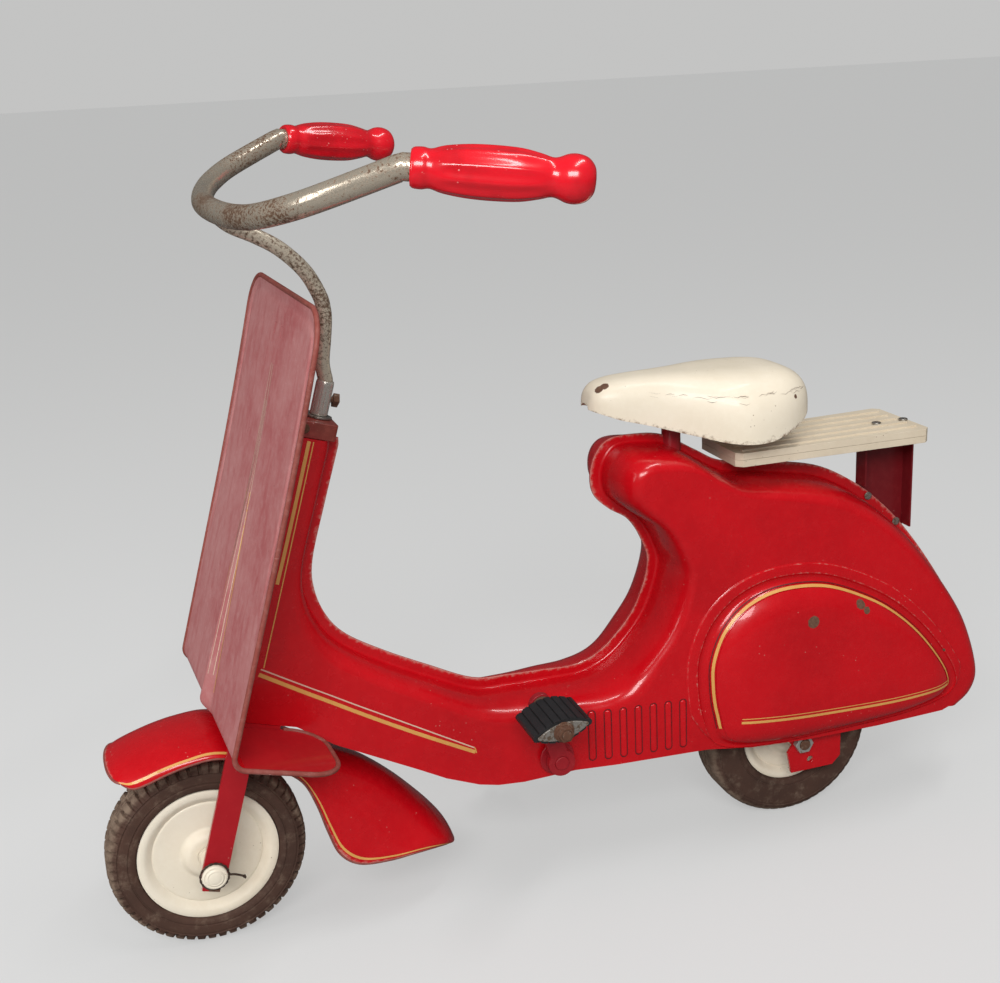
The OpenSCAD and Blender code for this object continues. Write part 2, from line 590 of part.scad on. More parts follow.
// Drive frame: two flat bars that carry the crank and the rear axle
bar_h = 24;
hanger_bottom = wheel_r - 29;
tab_bolt_r = 2.5;
tab_bolt_z = bridge_z + 10;
module frame_outline() {
  polygon([[crank_x, crank_z + bar_h / 2], [crank_x, crank_z - bar_h / 2],
    [rear_x - 14, crank_z - 10 - bar_h / 2], [rear_x - 14, wheel_r + 4], [rear_x - 9, wheel_r - 2],
    [rear_x - 14, wheel_r - 9], [rear_x - 10, hanger_bottom], [rear_x + 32, hanger_bottom],
    [rear_x + 40, hanger_bottom + 8], [rear_x + 40, crank_z - 14], [rear_x + 28, crank_z - 11 + bar_h / 2]]);
  translate([crank_x, crank_z]) circle(16);
}
module drive_frame() difference() {
  translate([0, -frame_in, 0]) rotate([90, 0, 0]) linear_extrude(frame_t) frame_outline();
  along_y(crank_x, crank_z, -frame_out - 1, -frame_in + 1, bearing_r + seat_gap);
  along_y(rear_x, wheel_r, -frame_out - 1, -frame_in + 1, axle_r + seat_gap);
  along_y(seat_x, tab_bolt_z, -frame_out - 1, -frame_in + 1, tab_bolt_r + seat_gap);
  along_y(rear_x + 9, wheel_r - 19, -frame_out - 1, -frame_in + 1, 3);
}
module drive_frame_left() color(paint_red) placed() drive_frame();
module drive_frame_right() color(paint_red) placed() mirror([0, 1, 0]) drive_frame();
module frame_bolts() color(bare_steel) placed() both_sides() {
  along_y(seat_x, tab_bolt_z, frame_in - 8, frame_out + seat_gap + 0.1, tab_bolt_r);
  translate([seat_x, frame_out + seat_gap, tab_bolt_z]) rotate([-90, 0, 0]) cylinder(h = 3, r = 4.5, $fn = 6);
}
bridge_t = 3;
module seat_socket() color(bare_steel) placed() difference() {
  union() {
    translate([seat_x, 0, bridge_z]) cylinder(h = socket_top - bridge_z, r = socket_r);
    translate([seat_x - 15, -frame_in + seat_gap, bridge_z - bridge_t])
      cube([30, 2 * (frame_in - seat_gap), bridge_t + 0.1]);
    for (y = [-frame_in + seat_gap, frame_in - seat_gap - bridge_t])
      translate([seat_x - 15, y, bridge_z - bridge_t]) cube([30, bridge_t, 20]);
  }
  translate([seat_x, 0, bridge_z + 5]) cylinder(h = socket_top, r = seat_post_r + seat_gap);
  along_y(seat_x, tab_bolt_z, -frame_in - 1, -frame_in + bridge_t + 2, tab_bolt_r + seat_gap);
  along_y(seat_x, tab_bolt_z, frame_in - bridge_t - 2, frame_in + 1, tab_bolt_r + seat_gap);
}
module seat_post() color(bare_steel) placed()
  translate([seat_x, 0, bridge_z + 5 + seat_gap]) cylinder(h = seat_post_top - bridge_z - 5 - seat_gap, r = seat_post_r);

// Saddle: a pressed pan, open underneath
saddle_sheet = 1.5;
// Stations from nose to tail: distance from the seat post, half width as a share, top, rim
saddle_shape = [
  [-77, 0.14, -18, -23], [-74, 0.24, -9.5, -24], [-67, 0.33, -3.5, -26.5], [-54, 0.40, -0.5, -0.56 * saddle_depth],
  [-34, 0.46, 0.5, -0.66 * saddle_depth], [-14, 0.54, 0.5, -0.77 * saddle_depth],
  [6, 0.69, 0.2, -0.87 * saddle_depth], [26, 0.89, 0, -0.96 * saddle_depth], [44, 1, -0.3, -saddle_depth],
  [62, 1, -0.8, -saddle_depth], [79, 0.94, -1.6, -0.93 * saddle_depth], [93, 0.83, -3.5, -0.85 * saddle_depth],
  [104, 0.69, -8, -0.78 * saddle_depth], [111, 0.54, -15, -0.72 * saddle_depth], [114.5, 0.4, -25, -0.69 * saddle_depth],
  [115.5, 0.3, -34, -0.68 * saddle_depth]];
saddle_angles = [-90, -82, -68, -48, -24, 0, 24, 48, 68, 82, 90];
saddle_power = 0.6;
function arc_share(a) = sign(a) * pow(abs(sin(a)), saddle_power);
function saddle_row(s, t) = [
  for (a = saddle_angles)
    [seat_x + s[0], (s[1] * saddle_hw - t) * arc_share(a),
      saddle_top + s[3] + (s[2] - t - s[3]) * pow(max(0, cos(a)), saddle_power)]];
module saddle() color(old_white) placed()
  pressed_sheet(
    [for (s = smooth(saddle_shape, 2)) saddle_row(s, 0)],
    [for (s = smooth(saddle_shape, 2)) saddle_row(s, saddle_sheet)]);
mount_top = saddle_top - saddle_sheet - 2.2;
module saddle_mount() color(bare_steel) placed() difference() {
  union() {
    translate([seat_x, 0, seat_post_top - 16]) cylinder(h = 19, r = seat_post_r + 4);
    translate([seat_x - 14, -18, seat_post_top + seat_gap]) cube([52, 36, 3]);
    for (y = [-18, 15]) translate([seat_x - 14, y, seat_post_top + seat_gap]) cube([52, 3, mount_top - seat_post_top - seat_gap]);
    translate([seat_x - 14, -18, mount_top - 2]) cube([52, 36, 2]);
  }
  translate([seat_x, 0, seat_post_top - 17]) cylinder(h = 17 + seat_gap, r = seat_post_r + seat_gap);
}

// Pillion plate in two layers on a pressed bracket
pillion_round = 5;
module pillion_outline() {
  polygon([[pillion_x, -pillion_front_hw + pillion_round], [pillion_x + pillion_round, -pillion_front_hw],
    [pillion_x + pillion_len - pillion_round, -pillion_hw], [pillion_x + pillion_len, -pillion_hw + pillion_round],
    [pillion_x + pillion_len, pillion_hw - pillion_round], [pillion_x + pillion_len - pillion_round, pillion_hw],
    [pillion_x + pillion_round, pillion_front_hw], [pillion_x, pillion_front_hw - pillion_round]]);
}
pillion_screw_r = 2;
rivet_r = 2;
rib_pitch = 0.4 * pillion_front_hw;
screw_y = -rib_pitch / 2;
bracket_x = pillion_x + pillion_len - 45;
bracket_len = 49;
bracket_t = 1.6;
bracket_hw = 12;
pillion_ribs = 5;
module pillion_screw_holes() {
  for (x = [bracket_x + 13, bracket_x + 40])
    translate([x, screw_y, pillion_z - 6]) cylinder(h = 40, r = pillion_screw_r + seat_gap);
}
module pillion_base() color(old_white) placed() difference() {
  translate([0, 0, pillion_z]) linear_extrude(pillion_t) pillion_outline();
  pillion_screw_holes();
}
pillion_mid = pillion_z + pillion_t + seat_gap;
module pillion_top() color(old_white) placed() difference() {
  union() {
    translate([0, 0, pillion_mid]) linear_extrude(pillion_t) pillion_outline();
    for (i = [0 : pillion_ribs - 1])
      let (y = (i - (pillion_ribs - 1) / 2) * rib_pitch)
      translate([pillion_x + 7, y - 1.8, pillion_mid + pillion_t - 0.1]) cube([pillion_len - 14, 3.6, 1.5]);
  }
  pillion_screw_holes();
}
// Height of the shells' upper flange edge behind the rear axle
function rim_z(x) = let (k = [for (i = [0 : stations - 2]) if (rim_line[i][0] <= x && rim_line[i + 1][0] > x) i])
  let (i = k[len(k) - 1])
  lerp(rim_line[i][1], rim_line[i + 1][1], (x - rim_line[i][0]) / (rim_line[i + 1][0] - rim_line[i][0]));
bracket_y = sheet_t + seat_gap;
bracket_top = pillion_z - seat_gap;
rivets = [[bracket_x + 10, rim_z(bracket_x + 10) - 4], [bracket_x + 40, rim_z(bracket_x + 40) - 4]];
module pillion_bracket() color(paint_red) placed() difference() {
  union() {
    translate([0, bracket_y + bracket_t, 0]) rotate([90, 0, 0]) linear_extrude(bracket_t)
      polygon([[bracket_x, bracket_top], [bracket_x, rim_z(bracket_x) - 6],
        [bracket_x + bracket_len / 2, rim_z(bracket_x + bracket_len / 2) - 6],
        [bracket_x + bracket_len, rim_z(bracket_x + bracket_len) - 6], [bracket_x + bracket_len, bracket_top]]);
    translate([bracket_x, -bracket_hw, bracket_top - bracket_t])
      cube([bracket_len, bracket_hw + bracket_y + bracket_t, bracket_t]);
    for (x = [bracket_x, bracket_x + bracket_len - bracket_t])
      translate([x, -bracket_hw, rim_z(x) + 1])
        cube([bracket_t, bracket_hw + bracket_y + bracket_t, bracket_top - rim_z(x) - 1]);
  }
  pillion_screw_holes();
  for (r = rivets) along_y(r[0], r[1], bracket_y - 1, bracket_y + bracket_t + 1, rivet_r + seat_gap);
}
module pillion_screws() color(bare_steel) placed() {
  for (x = [bracket_x + 13, bracket_x + 40]) {
    translate([x, screw_y, bracket_top - bracket_t - 2]) cylinder(h = pillion_mid + pillion_t - bracket_top + bracket_t + 2.4, r = pillion_screw_r);
    translate([x, screw_y, pillion_mid + pillion_t + seat_gap]) cylinder(h = 1.6, r = 4);
  }
  for (r = rivets) {
    along_y(r[0], r[1], -sheet_t - seat_gap - 0.1, bracket_y + bracket_t + seat_gap + 0.1, rivet_r);
    along_y(r[0], r[1], -sheet_t - seat_gap - 1.4, -sheet_t - seat_gap, 3.6);
    along_y(r[0], r[1], bracket_y + bracket_t + seat_gap, bracket_y + bracket_t + seat_gap + 1.4, 3.6);
  }
}

// Rear axle and crank bearings
rear_hub_hw = 33;
thread_gap = 0.1;
module rear_axle() color(bare_steel) placed() along_y(rear_x, wheel_r, -frame_out - 7, frame_out + 7, axle_r);
module rear_axle_nuts() color(bare_steel) placed() both_sides()
  translate([rear_x, frame_out + seat_gap, wheel_r]) rotate([-90, 0, 0]) difference() {
    cylinder(h = 5.5, r = 9, $fn = 6);
    translate([0, 0, -1]) cylinder(h = 8, r = axle_r + thread_gap);
  }
module rear_spacers() color(bare_steel) placed() both_sides()
  translate([rear_x, rear_hub_hw + seat_gap, wheel_r]) rotate([-90, 0, 0])
    ring(hub_r, axle_r + seat_gap, frame_in - rear_hub_hw - 2 * seat_gap);
flange_y = side_y(crank_x + bearing_flange_r) + seat_gap;
bearing_flange_t = 2;
module crank_bearing() translate([crank_x, -frame_in + 2, crank_z]) rotate([90, 0, 0]) difference() {
  union() {
    cylinder(h = flange_y - frame_in + 2 + bearing_flange_t, r = bearing_r);
    translate([0, 0, flange_y - frame_in + 2]) cylinder(h = bearing_flange_t, r = bearing_flange_r);
  }
  translate([0, 0, -1]) cylinder(h = 40, r = crank_axle_r + run_gap);
}
module crank_bearing_left() color(paint_red) placed() crank_bearing();
module crank_bearing_right() color(paint_red) placed() mirror([0, 1, 0]) crank_bearing();

// Roller chain: joints in order round the loop, starting under the chainwheel
front_joints = [for (i = [-4 : 4]) let (a = i * 360 / chainwheel_teeth) chainwheel_r * [-cos(a), sin(a)]];
rear_joints = [for (i = [3 : -1 : -3]) let (a = i * 360 / sprocket_teeth) [chain_c, 0] + sprocket_r * [cos(a), sin(a)]];
function run_joints(a, b) = [for (i = [1 : run_links - 1]) lerp(a, b, i / run_links)];
chain_joints = concat(
  front_joints, run_joints(front_joints[8], rear_joints[0]),
  rear_joints, run_joints(rear_joints[6], front_joints[0]));
link_hw = 4.4;
inner_z = roller_hw + 0.1;
outer_z = inner_z + plate_t + 0.2;
module link_outline(a, b) {
  v = b - a;
  translate(a) circle(link_hw);
  translate(b) circle(link_hw);
  translate(a) rotate(atan2(v[1], v[0])) translate([0, -link_hw + 0.8]) square([norm(v), 2 * link_hw - 1.6]);
}
module inner_link(a, b) difference() {
  union() {
    for (z = [-inner_z - plate_t, inner_z]) translate([0, 0, z]) linear_extrude(plate_t) link_outline(a, b);
    for (p = [a, b]) translate([p[0], p[1], -inner_z - 0.1]) cylinder(h = 2 * inner_z + 0.2, r = roller_r);
  }
  for (p = [a, b]) translate([p[0], p[1], -6]) cylinder(h = 12, r = pin_r + run_gap);
}
module outer_link(a, b) {
  for (z = [-outer_z - plate_t, outer_z]) translate([0, 0, z]) linear_extrude(plate_t) link_outline(a, b);
  for (p = [a, b]) translate([p[0], p[1], -outer_z - plate_t - 0.3]) cylinder(h = 2 * (outer_z + plate_t + 0.3), r = pin_r);
}
joints = len(chain_joints);
module chain_inner_links() color(bare_steel) placed() chain_frame()
  for (i = [0 : 2 : joints - 2]) inner_link(chain_joints[i], chain_joints[i + 1]);
module chain_outer_links() color(rust) placed() chain_frame()
  for (i = [1 : 2 : joints - 1]) outer_link(chain_joints[i], chain_joints[(i + 1) % joints]);
tooth_h = 1.8;
module toothed_wheel(teeth, pitch_r, bore) {
  difference() {
    circle(pitch_r + tooth_h);
    circle(bore);
    for (i = [0 : teeth - 1]) rotate(i * 360 / teeth) {
      translate([pitch_r, 0]) circle(roller_r + seat_gap);
      polygon([[pitch_r - 1, -roller_r - 0.2], [pitch_r + 6, -roller_r - 2.4],
        [pitch_r + 6, roller_r + 2.4], [pitch_r - 1, roller_r + 0.2]]);
    }
  }
}

// Fork and front axle
module fork_blade() translate([-fork_offset, 0, 0]) rotate([90, 0, 0]) translate([0, 0, fork_gap / 2])
  linear_extrude(fork_t) difference() {
    union() {
      translate([-fork_blade_w / 2, 0]) square([fork_blade_w, crown_top - 0.01]);
      circle(fork_blade_w / 2);
      translate([-fork_blade_w / 2 + 3, -fork_blade_w / 2 - 4]) square([fork_blade_w - 6, 8]);
    }
    circle(axle_r + seat_gap);
  }
guard_bolt_y = 24;
guard_bolt_r = 2.5;
crown_boss_r = 15;
module fork() color(paint_red) placed() steer_frame() {
  both_sides() fork_blade();
  translate([0, 0, crown_under]) linear_extrude(fork_t) difference() {
    union() {
      translate([-fork_offset - fork_blade_w / 2, -fork_out]) square([fork_blade_w, 2 * fork_out]);
      circle(crown_boss_r);
      translate([-fork_offset, -crown_boss_r]) square([fork_offset, 2 * crown_boss_r]);
    }
    circle(column_r - 1.5 + seat_gap);
    for (y = [-guard_bolt_y, guard_bolt_y]) translate([-fork_offset, y]) circle(guard_bolt_r + seat_gap);
  }
}
collar_top = collar_under + collar_h;
column_top = collar_under - seat_gap;
module steering_column() color(bare_steel) placed() steer_frame() difference() {
  union() {
    translate([0, 0, crown_top + seat_gap]) cylinder(h = column_top - crown_top - seat_gap, r = column_r);
    translate([0, 0, crown_under]) cylinder(h = fork_t + 1, r = column_r - 1.5);
  }
  translate([0, 0, column_top - 70]) cylinder(h = 80, r = stem_r + seat_gap);
}
clamp_z = collar_under + 13;
collar_dome = 3.5;
module clamp_collar() color(bare_steel) placed() steer_frame() difference() {
  union() {
    translate([0, 0, collar_under]) cylinder(h = collar_h, r = stem_r + seat_gap + 0.1);
    translate([0, 0, collar_under]) rotate_extrude()
      polygon(concat([[0, 0]], [for (a = [0 : 15 : 90]) [
        column_r * lerp(1, 0.88, 1 - cos(a)), collar_h - collar_dome * (1 - sin(a))]], [[0, collar_h]]));
  }
  translate([0, 0, collar_under - 1]) cylinder(h = collar_h + 2, r = stem_r + seat_gap);
  translate([0, 0, clamp_z]) rotate([0, 90, 0]) cylinder(h = 20, r = 2.4 + seat_gap);
}
module clamp_bolt() color(rust) placed() steer_frame() translate([stem_r + seat_gap, 0, clamp_z]) rotate([0, 90, 0]) {
  cylinder(h = column_r - stem_r + 1.3, r = 2.4);
  translate([0, 0, column_r - stem_r + 0.9]) cylinder(h = 5, r = 5.6, $fn = 4);
}
// Stem: up the column's axis, then back over and forward to the handlebar
stem_foot = neck(0, collar_top);
stem_bends = [[-1.5, 14], [1, 31], [3, 46], [2.9, 55], [0.8, 65.5], [-8.8, 84.5], [-25.5, 102], [-42.5, 113],
  [-60, 122], [-70, 131]];
bar_mid = stem_foot + [-74.2, 135.9];
stem_path = [
  for (p = concat([neck(0, column_top - 66), neck(0, column_top - 20)], smooth(concat([stem_foot], [for (b = stem_bends) stem_foot + b]), 2)))
    [p[0], 0, p[1]]];
module handlebar_stem() color(bare_steel) placed() difference() {
  swept_bar(stem_path, stem_r, 12, [0, 1, 0]);
  along_y(bar_mid[0], bar_mid[1], -20, 20, bar_r + seat_gap);
}
// Handlebar half: [rearward, share of the reach, up] from its middle
bar_bends = [[0, 0, 0], [0.4, 0.09, 0], [1.5, 0.19, 0], [3.3, 0.28, 0.1], [7.1, 0.42, 0.9], [12.8, 0.56, 3.1],
  [23.1, 0.70, 7.9], [44.1, 0.845, 16.8]];
grip_dir = unit([111.5, 37, -14]);
grip_base = [bar_mid[0] + 95.7, bar_reach, bar_mid[1] + 34.1];
bar_half = concat(
  smooth(concat(
    [for (b = bar_bends) [bar_mid[0] + b[0], b[1] * bar_reach, bar_mid[1] + b[2]]],
    [grip_base - 5 * grip_dir]), 2),
  [grip_base + 16 * grip_dir, grip_base + 80 * grip_dir]);
bar_path = concat(
  [for (i = [len(bar_half) - 1 : -1 : 1]) [bar_half[i][0], -bar_half[i][1], bar_half[i][2]]],
  bar_half);
module handlebar() color(bare_steel) placed() swept_bar(bar_path, bar_r, 12, unit(cross([0, 0, 1], grip_dir)));
grip_profile = [[0, 0.66], [2, 0.74], [7, 0.76], [12, 0.72], [20, 0.86], [34, 0.97], [50, 1], [66, 0.96], [78, 0.82],
  [84, 0.72], [88, 0.74], [94, 0.88], [100, 0.9], [106, 0.78], [110, 0.5], [111, 0.2]];
module grip() translate(grip_base) rotate([0, acos(grip_dir[2]), atan2(grip_dir[1], grip_dir[0])]) difference() {
  rotate_extrude() polygon(concat([[0, 0]],
    [for (g = grip_profile) [g[1] * grip_d / 2, g[0] * grip_len / 111]], [[0, grip_len]]));
  translate([0, 0, -1]) cylinder(h = 86, r = bar_r + seat_gap);
}
module grip_right() color(grip_red) placed() grip();
module grip_left() color(grip_red) placed() mirror([0, 1, 0]) grip();

// Front mudguard: crown line and edge line, [[x, z], [x, z], half width], in the upright frame of the axle
guard_shape = [
  [[-69.5, 90], [-60, 87], 36], [[-60.5, 95.5], [-52, 83.5], 41.5], [[-47.5, 100], [-41, 85.8], 43.3],
  [[-32, 103.6], [-25, 91], 43.8], [[-14, 106.2], [-6, 95], 43.8], [[10, 106.8], [13, 96], 43.8],
  [[32, 102.3], [36, 89], 43.8], [[50, 94.7], [58, 78], 45], [[70, 84.5], [76.5, 63], 46],
  [[92, 74], [86, 41], 46.5], [[116, 61.5], [93, 15], 47], [[138, 48], [101, -7], 47],
  [[160, 28.5], [116, -19.5], 47], [[179.5, 7], [140, -22.3], 47], [[192, -9], [165, -21.7], 45.5],
  [[202, -24], [184, -25], 38], [[207, -37], [197, -34], 22], [[208, -41], [204, -40], 9]];
guard_angles = [-90, -78, -60, -40, -20, 0, 20, 40, 60, 78, 90];
guard_grow = guard_top / 107.2;
guard_round = 0.9;
function guard_row(s, n, t) = [
  for (a = guard_angles)
    let (k = 1 - pow(max(0, cos(a)), guard_round), c = [s[0], s[1]] - t * n, e = [s[2], s[3]])
    [(c[0] + (e[0] - c[0]) * k) * guard_grow, (s[4] - t) * sign(a) * pow(abs(sin(a)), guard_round),
      wheel_r + (c[1] + (e[1] - c[1]) * k) * guard_grow]];
guard_line = smooth([for (g = guard_shape) [g[0][0], g[0][1], g[1][0], g[1][1], g[2]]], 2);
guard_normals = [
  for (i = [0 : len(guard_line) - 1])
    let (p = guard_line[max(i - 1, 0)], q = guard_line[min(i + 1, len(guard_line) - 1)])
    unit([p[1] - q[1], q[0] - p[0]])];
module front_mudguard() color(paint_red) placed() difference() {
  pressed_sheet(
    [for (i = [0 : len(guard_line) - 1]) guard_row(guard_line[i], guard_normals[i], 0)],
    [for (i = [0 : len(guard_line) - 1]) guard_row(guard_line[i], guard_normals[i], sheet_t)]);
  steer_frame() for (y = [-guard_bolt_y, guard_bolt_y])
    translate([-fork_offset, y, crown_under - 12]) cylinder(h = 16, r = guard_bolt_r + seat_gap);
}
module mudguard_bolts() color(bare_steel) placed() steer_frame() for (y = [-guard_bolt_y, guard_bolt_y])
  translate([-fork_offset, y, crown_under - 7]) {
    cylinder(h = fork_t + 7 + seat_gap + 0.1, r = guard_bolt_r);
    translate([0, 0, fork_t + 7 + seat_gap]) cylinder(h = 1.6, r = 4.5);
  }
module front_axle() color(bare_steel) placed() along_y(0, wheel_r, -fork_out - 3, fork_out + 3, axle_r);
module axle_caps() color(old_white) placed() both_sides()
  translate([0, fork_out + seat_gap, wheel_r]) rotate([-90, 0, 0]) difference() {
    union() {
      cylinder(h = 3, r = cap_r);
      translate([0, 0, 3]) cylinder(h = 2.2, r1 = cap_r, r2 = cap_r - 4);
    }
    translate([0, 0, -1]) cylinder(h = 4, r = axle_r + seat_gap);
  }
wire_r = 0.9;
module cotter_wires() color(rust) placed() both_sides()
  translate([0, fork_out + seat_gap + wire_r, wheel_r]) rotate([-90, 0, 0]) {
    rotate_extrude() translate([cap_r + seat_gap + wire_r, 0]) circle(wire_r, $fn = 16);
    translate([cap_r + wire_r, 0, 0]) rotate([0, 90, 0]) cylinder(h = 12, r = wire_r, $fn = 16);
  }
module front_spacers() color(bare_steel) placed() both_sides()
  translate([0, hub_hw + seat_gap, wheel_r]) rotate([-90, 0, 0])
    ring(8, axle_r + seat_gap, fork_gap / 2 - hub_hw - 2 * seat_gap);

// Wheels
function tyre_profile(inner, w) = [
  [inner, -w * 0.86], [inner + 5, -w], [wheel_r - 8, -w], [wheel_r - 2, -w * 0.8], [wheel_r, -w * 0.5],
  [wheel_r, w * 0.5], [wheel_r - 2, w * 0.8], [wheel_r - 8, w], [inner + 5, w], [inner, w * 0.86]];
tread_depth = 2.2;
groove_w = 4;
module tyre(inner, w, blocks, cut) difference() {
  rotate_extrude() polygon(tyre_profile(inner, w));
  for (i = [0 : blocks - 1]) rotate((i + 0.5) * 360 / blocks)
    for (z = [cut, -w - 1]) translate([wheel_r - tread_depth, -groove_w / 2, z]) cube([4, groove_w, w + 1 - cut]);
}
module front_tyre() color(tyre_rubber) placed() front_axle_frame()
  tyre(front_disc_r + seat_gap, front_tyre_w / 2, tread_blocks, 1.5);
module rear_tyre() color(tyre_rubber) placed() rear_axle_frame()
  tyre(rear_disc_r + seat_gap, rear_tyre_w / 2, tread_blocks, 6);
module front_rim() color(old_white) placed() front_axle_frame()
  translate([0, 0, -rim_hw]) ring(front_disc_r, front_disc_r - 3, 2 * rim_hw);
// Pressed disc: hollow profile [radius, distance from the mid-plane] from the hub to the rim
function disc_line(r) = [[hub_r + seat_gap, 18.5], [hub_r + 6, 18.5], [hub_r + 13, 12.5], [0.76 * r, 11],
  [0.9 * r, rim_hw + seat_gap], [r, rim_hw + seat_gap]];
module disc(r) rotate_extrude() polygon(concat(
  [for (p = disc_line(r)) [p[0], p[1] + disc_t]],
  [for (i = [5 : -1 : 0]) disc_line(r)[i]]));
module front_disc_left() color(old_white) placed() front_axle_frame() disc(front_disc_r);
module front_disc_right() color(old_white) placed() front_axle_frame() mirror([0, 0, 1]) disc(front_disc_r);
module rear_disc_left() color(old_white) placed() rear_axle_frame() disc(rear_disc_r);
module rear_disc_right() color(old_white) placed() rear_axle_frame() mirror([0, 0, 1]) disc(rear_disc_r);
module hub(hw) difference() {
  union() {
    translate([0, 0, -hw]) cylinder(h = 2 * hw, r = hub_r);
    for (z = [-18.2, 15.2]) translate([0, 0, z]) cylinder(h = 3, r = hub_r + 4);
  }
  translate([0, 0, -hw - 1]) cylinder(h = 2 * hw + 2, r = axle_r + run_gap);
}
module front_hub() color(bare_steel) placed() front_axle_frame() hub(hub_hw);
module rear_hub() color(bare_steel) placed() rear_axle_frame() hub(rear_hub_hw);
module rear_sprocket() color(rust) placed() rear_axle_frame() rotate([0, 0, -chain_lean]) translate([0, 0, -chain_y])
  translate([0, 0, -tooth_hw]) linear_extrude(2 * tooth_hw)
    toothed_wheel(sprocket_teeth, sprocket_r, hub_r + seat_gap);

// Crank and pedals
module crank_axle() color(bare_steel) placed() along_y(crank_x, crank_z, -arm_out - 1, arm_out + 1, crank_axle_r);
// Flat arm with a boss that reaches in to the bearing's flange
arm_boss_r = 10;
module crank_arm() difference() {
  union() {
    translate([0, 0, arm_in]) linear_extrude(crank_arm_t) {
      circle(11.5);
      translate([0, crank_len]) circle(9.5);
      polygon([[-8, 0], [8, 0], [6.5, crank_len], [-6.5, crank_len]]);
    }
    translate([0, 0, flange_y + bearing_flange_t + seat_gap])
      cylinder(h = arm_in - flange_y - bearing_flange_t, r = arm_boss_r);
  }
  translate([0, 0, flange_y]) cylinder(h = arm_out, r = crank_axle_r + thread_gap);
  translate([0, crank_len, arm_in - 1]) cylinder(h = crank_arm_t + 2, r = spindle_r + thread_gap);
}
module crank_left() color(paint_red) placed() crank_frame() rotate([0, 0, crank_lean]) crank_arm();
module crank_right() color(paint_red) placed() crank_frame() rotate([0, 0, 180 + crank_lean]) mirror([0, 0, 1]) crank_arm();
module chainwheel() color(bare_steel) placed() crank_frame() rotate([0, 0, -chain_lean]) translate([0, 0, -chain_y - tooth_hw])
  linear_extrude(2 * tooth_hw) toothed_wheel(chainwheel_teeth, chainwheel_r, crank_axle_r + seat_gap);
module at_pedal(side) crank_frame() rotate([0, 0, crank_lean + (side > 0 ? 180 : 0)]) translate([0, crank_len, 0])
  rotate([0, 0, -crank_lean - (side > 0 ? 180 : 0)]) mirror([0, 0, side > 0 ? 1 : 0]) children();
module spindle() {
  translate([0, 0, arm_in - 1]) cylinder(h = pedal_out + 1 - arm_in, r = spindle_r);
  translate([0, 0, pedal_out - 1]) cylinder(h = 10, r = spindle_r - 1);
  translate([0, 0, arm_out + seat_gap]) cylinder(h = pedal_in - arm_out - 2 * seat_gap, r = spindle_r + 3.5);
}
module pedal_spindles() color(bare_steel) placed() {
  at_pedal(-1) spindle();
  at_pedal(1) spindle();
}
module pedal_nut() translate([0, 0, pedal_out + seat_gap]) difference() {
  union() {
    cylinder(h = 1.2, r = 8.5);
    cylinder(h = 2.6, r = 7.2);
    translate([0, 0, 2.5]) cylinder(h = 4.5, r = 6.5, $fn = 6);
  }
  translate([0, 0, -1]) cylinder(h = 10, r = spindle_r - 1 + thread_gap);
}
module pedal_nuts() color(rust) placed() {
  at_pedal(-1) pedal_nut();
  at_pedal(1) pedal_nut();
}
// Lens-shaped section with rounded tips
module pedal_outline(w, h, r) {
  k = w / 2 - r;
  polygon(concat(
    [for (s = [-1 : 0.125 : 1]) [s * k, r + (h / 2 - r) * (1 - s * s)]],
    [for (s = [1 : -0.125 : -1]) [s * k, -r - (h / 2 - r) * (1 - s * s)]]));
  for (x = [-k, k]) translate([x, 0]) circle(r, $fn = 32);
}
pedal_tip_r = 3;
pedal_wall = 2.6;
pedal_rib_pitch = 6.6;
function pedal_rise(x) = let (k = pedal_w / 2 - pedal_tip_r)
  pedal_tip_r + (pedal_t / 2 - pedal_tip_r) * (1 - pow(x / k, 2));
module pedal_rubber(tilt) rotate([0, 0, tilt])
  translate([0, 0, pedal_in + pedal_plate_t + seat_gap])
    linear_extrude(pedal_len - 2 * (pedal_plate_t + seat_gap)) difference() {
      pedal_outline(pedal_w, pedal_t, pedal_tip_r);
      circle(pedal_tube_r + seat_gap);
      difference() {
        pedal_outline(pedal_w - 2.4 * pedal_wall, pedal_t - 2 * pedal_wall, 0.6);
        square([2 * pedal_tube_r + 4, pedal_t], center = true);
      }
      for (i = [-3 : 3]) for (s = [-1, 1])
        let (x = i * pedal_rib_pitch) translate([x, s * pedal_rise(x)]) square([1.4, 2], center = true);
    }
module pedal_frame(tilt) rotate([0, 0, tilt]) difference() {
  union() {
    translate([0, 0, pedal_in]) cylinder(h = pedal_len, r = pedal_tube_r);
    for (z = [pedal_in, pedal_out - pedal_plate_t])
      translate([0, 0, z]) linear_extrude(pedal_plate_t) pedal_outline(pedal_w - 7, pedal_t - 5, 1.5);
  }
  translate([0, 0, pedal_in - 1]) cylinder(h = pedal_len + 2, r = spindle_r + run_gap);
}
module pedal_rubber_left() color(black_rubber) placed() at_pedal(-1) pedal_rubber(pedal_tilt);
module pedal_frame_left() color(bare_steel) placed() at_pedal(-1) pedal_frame(pedal_tilt);
module pedal_rubber_right() color(black_rubber) placed() at_pedal(1) pedal_rubber(0);
module pedal_frame_right() color(bare_steel) placed() at_pedal(1) pedal_frame(0);

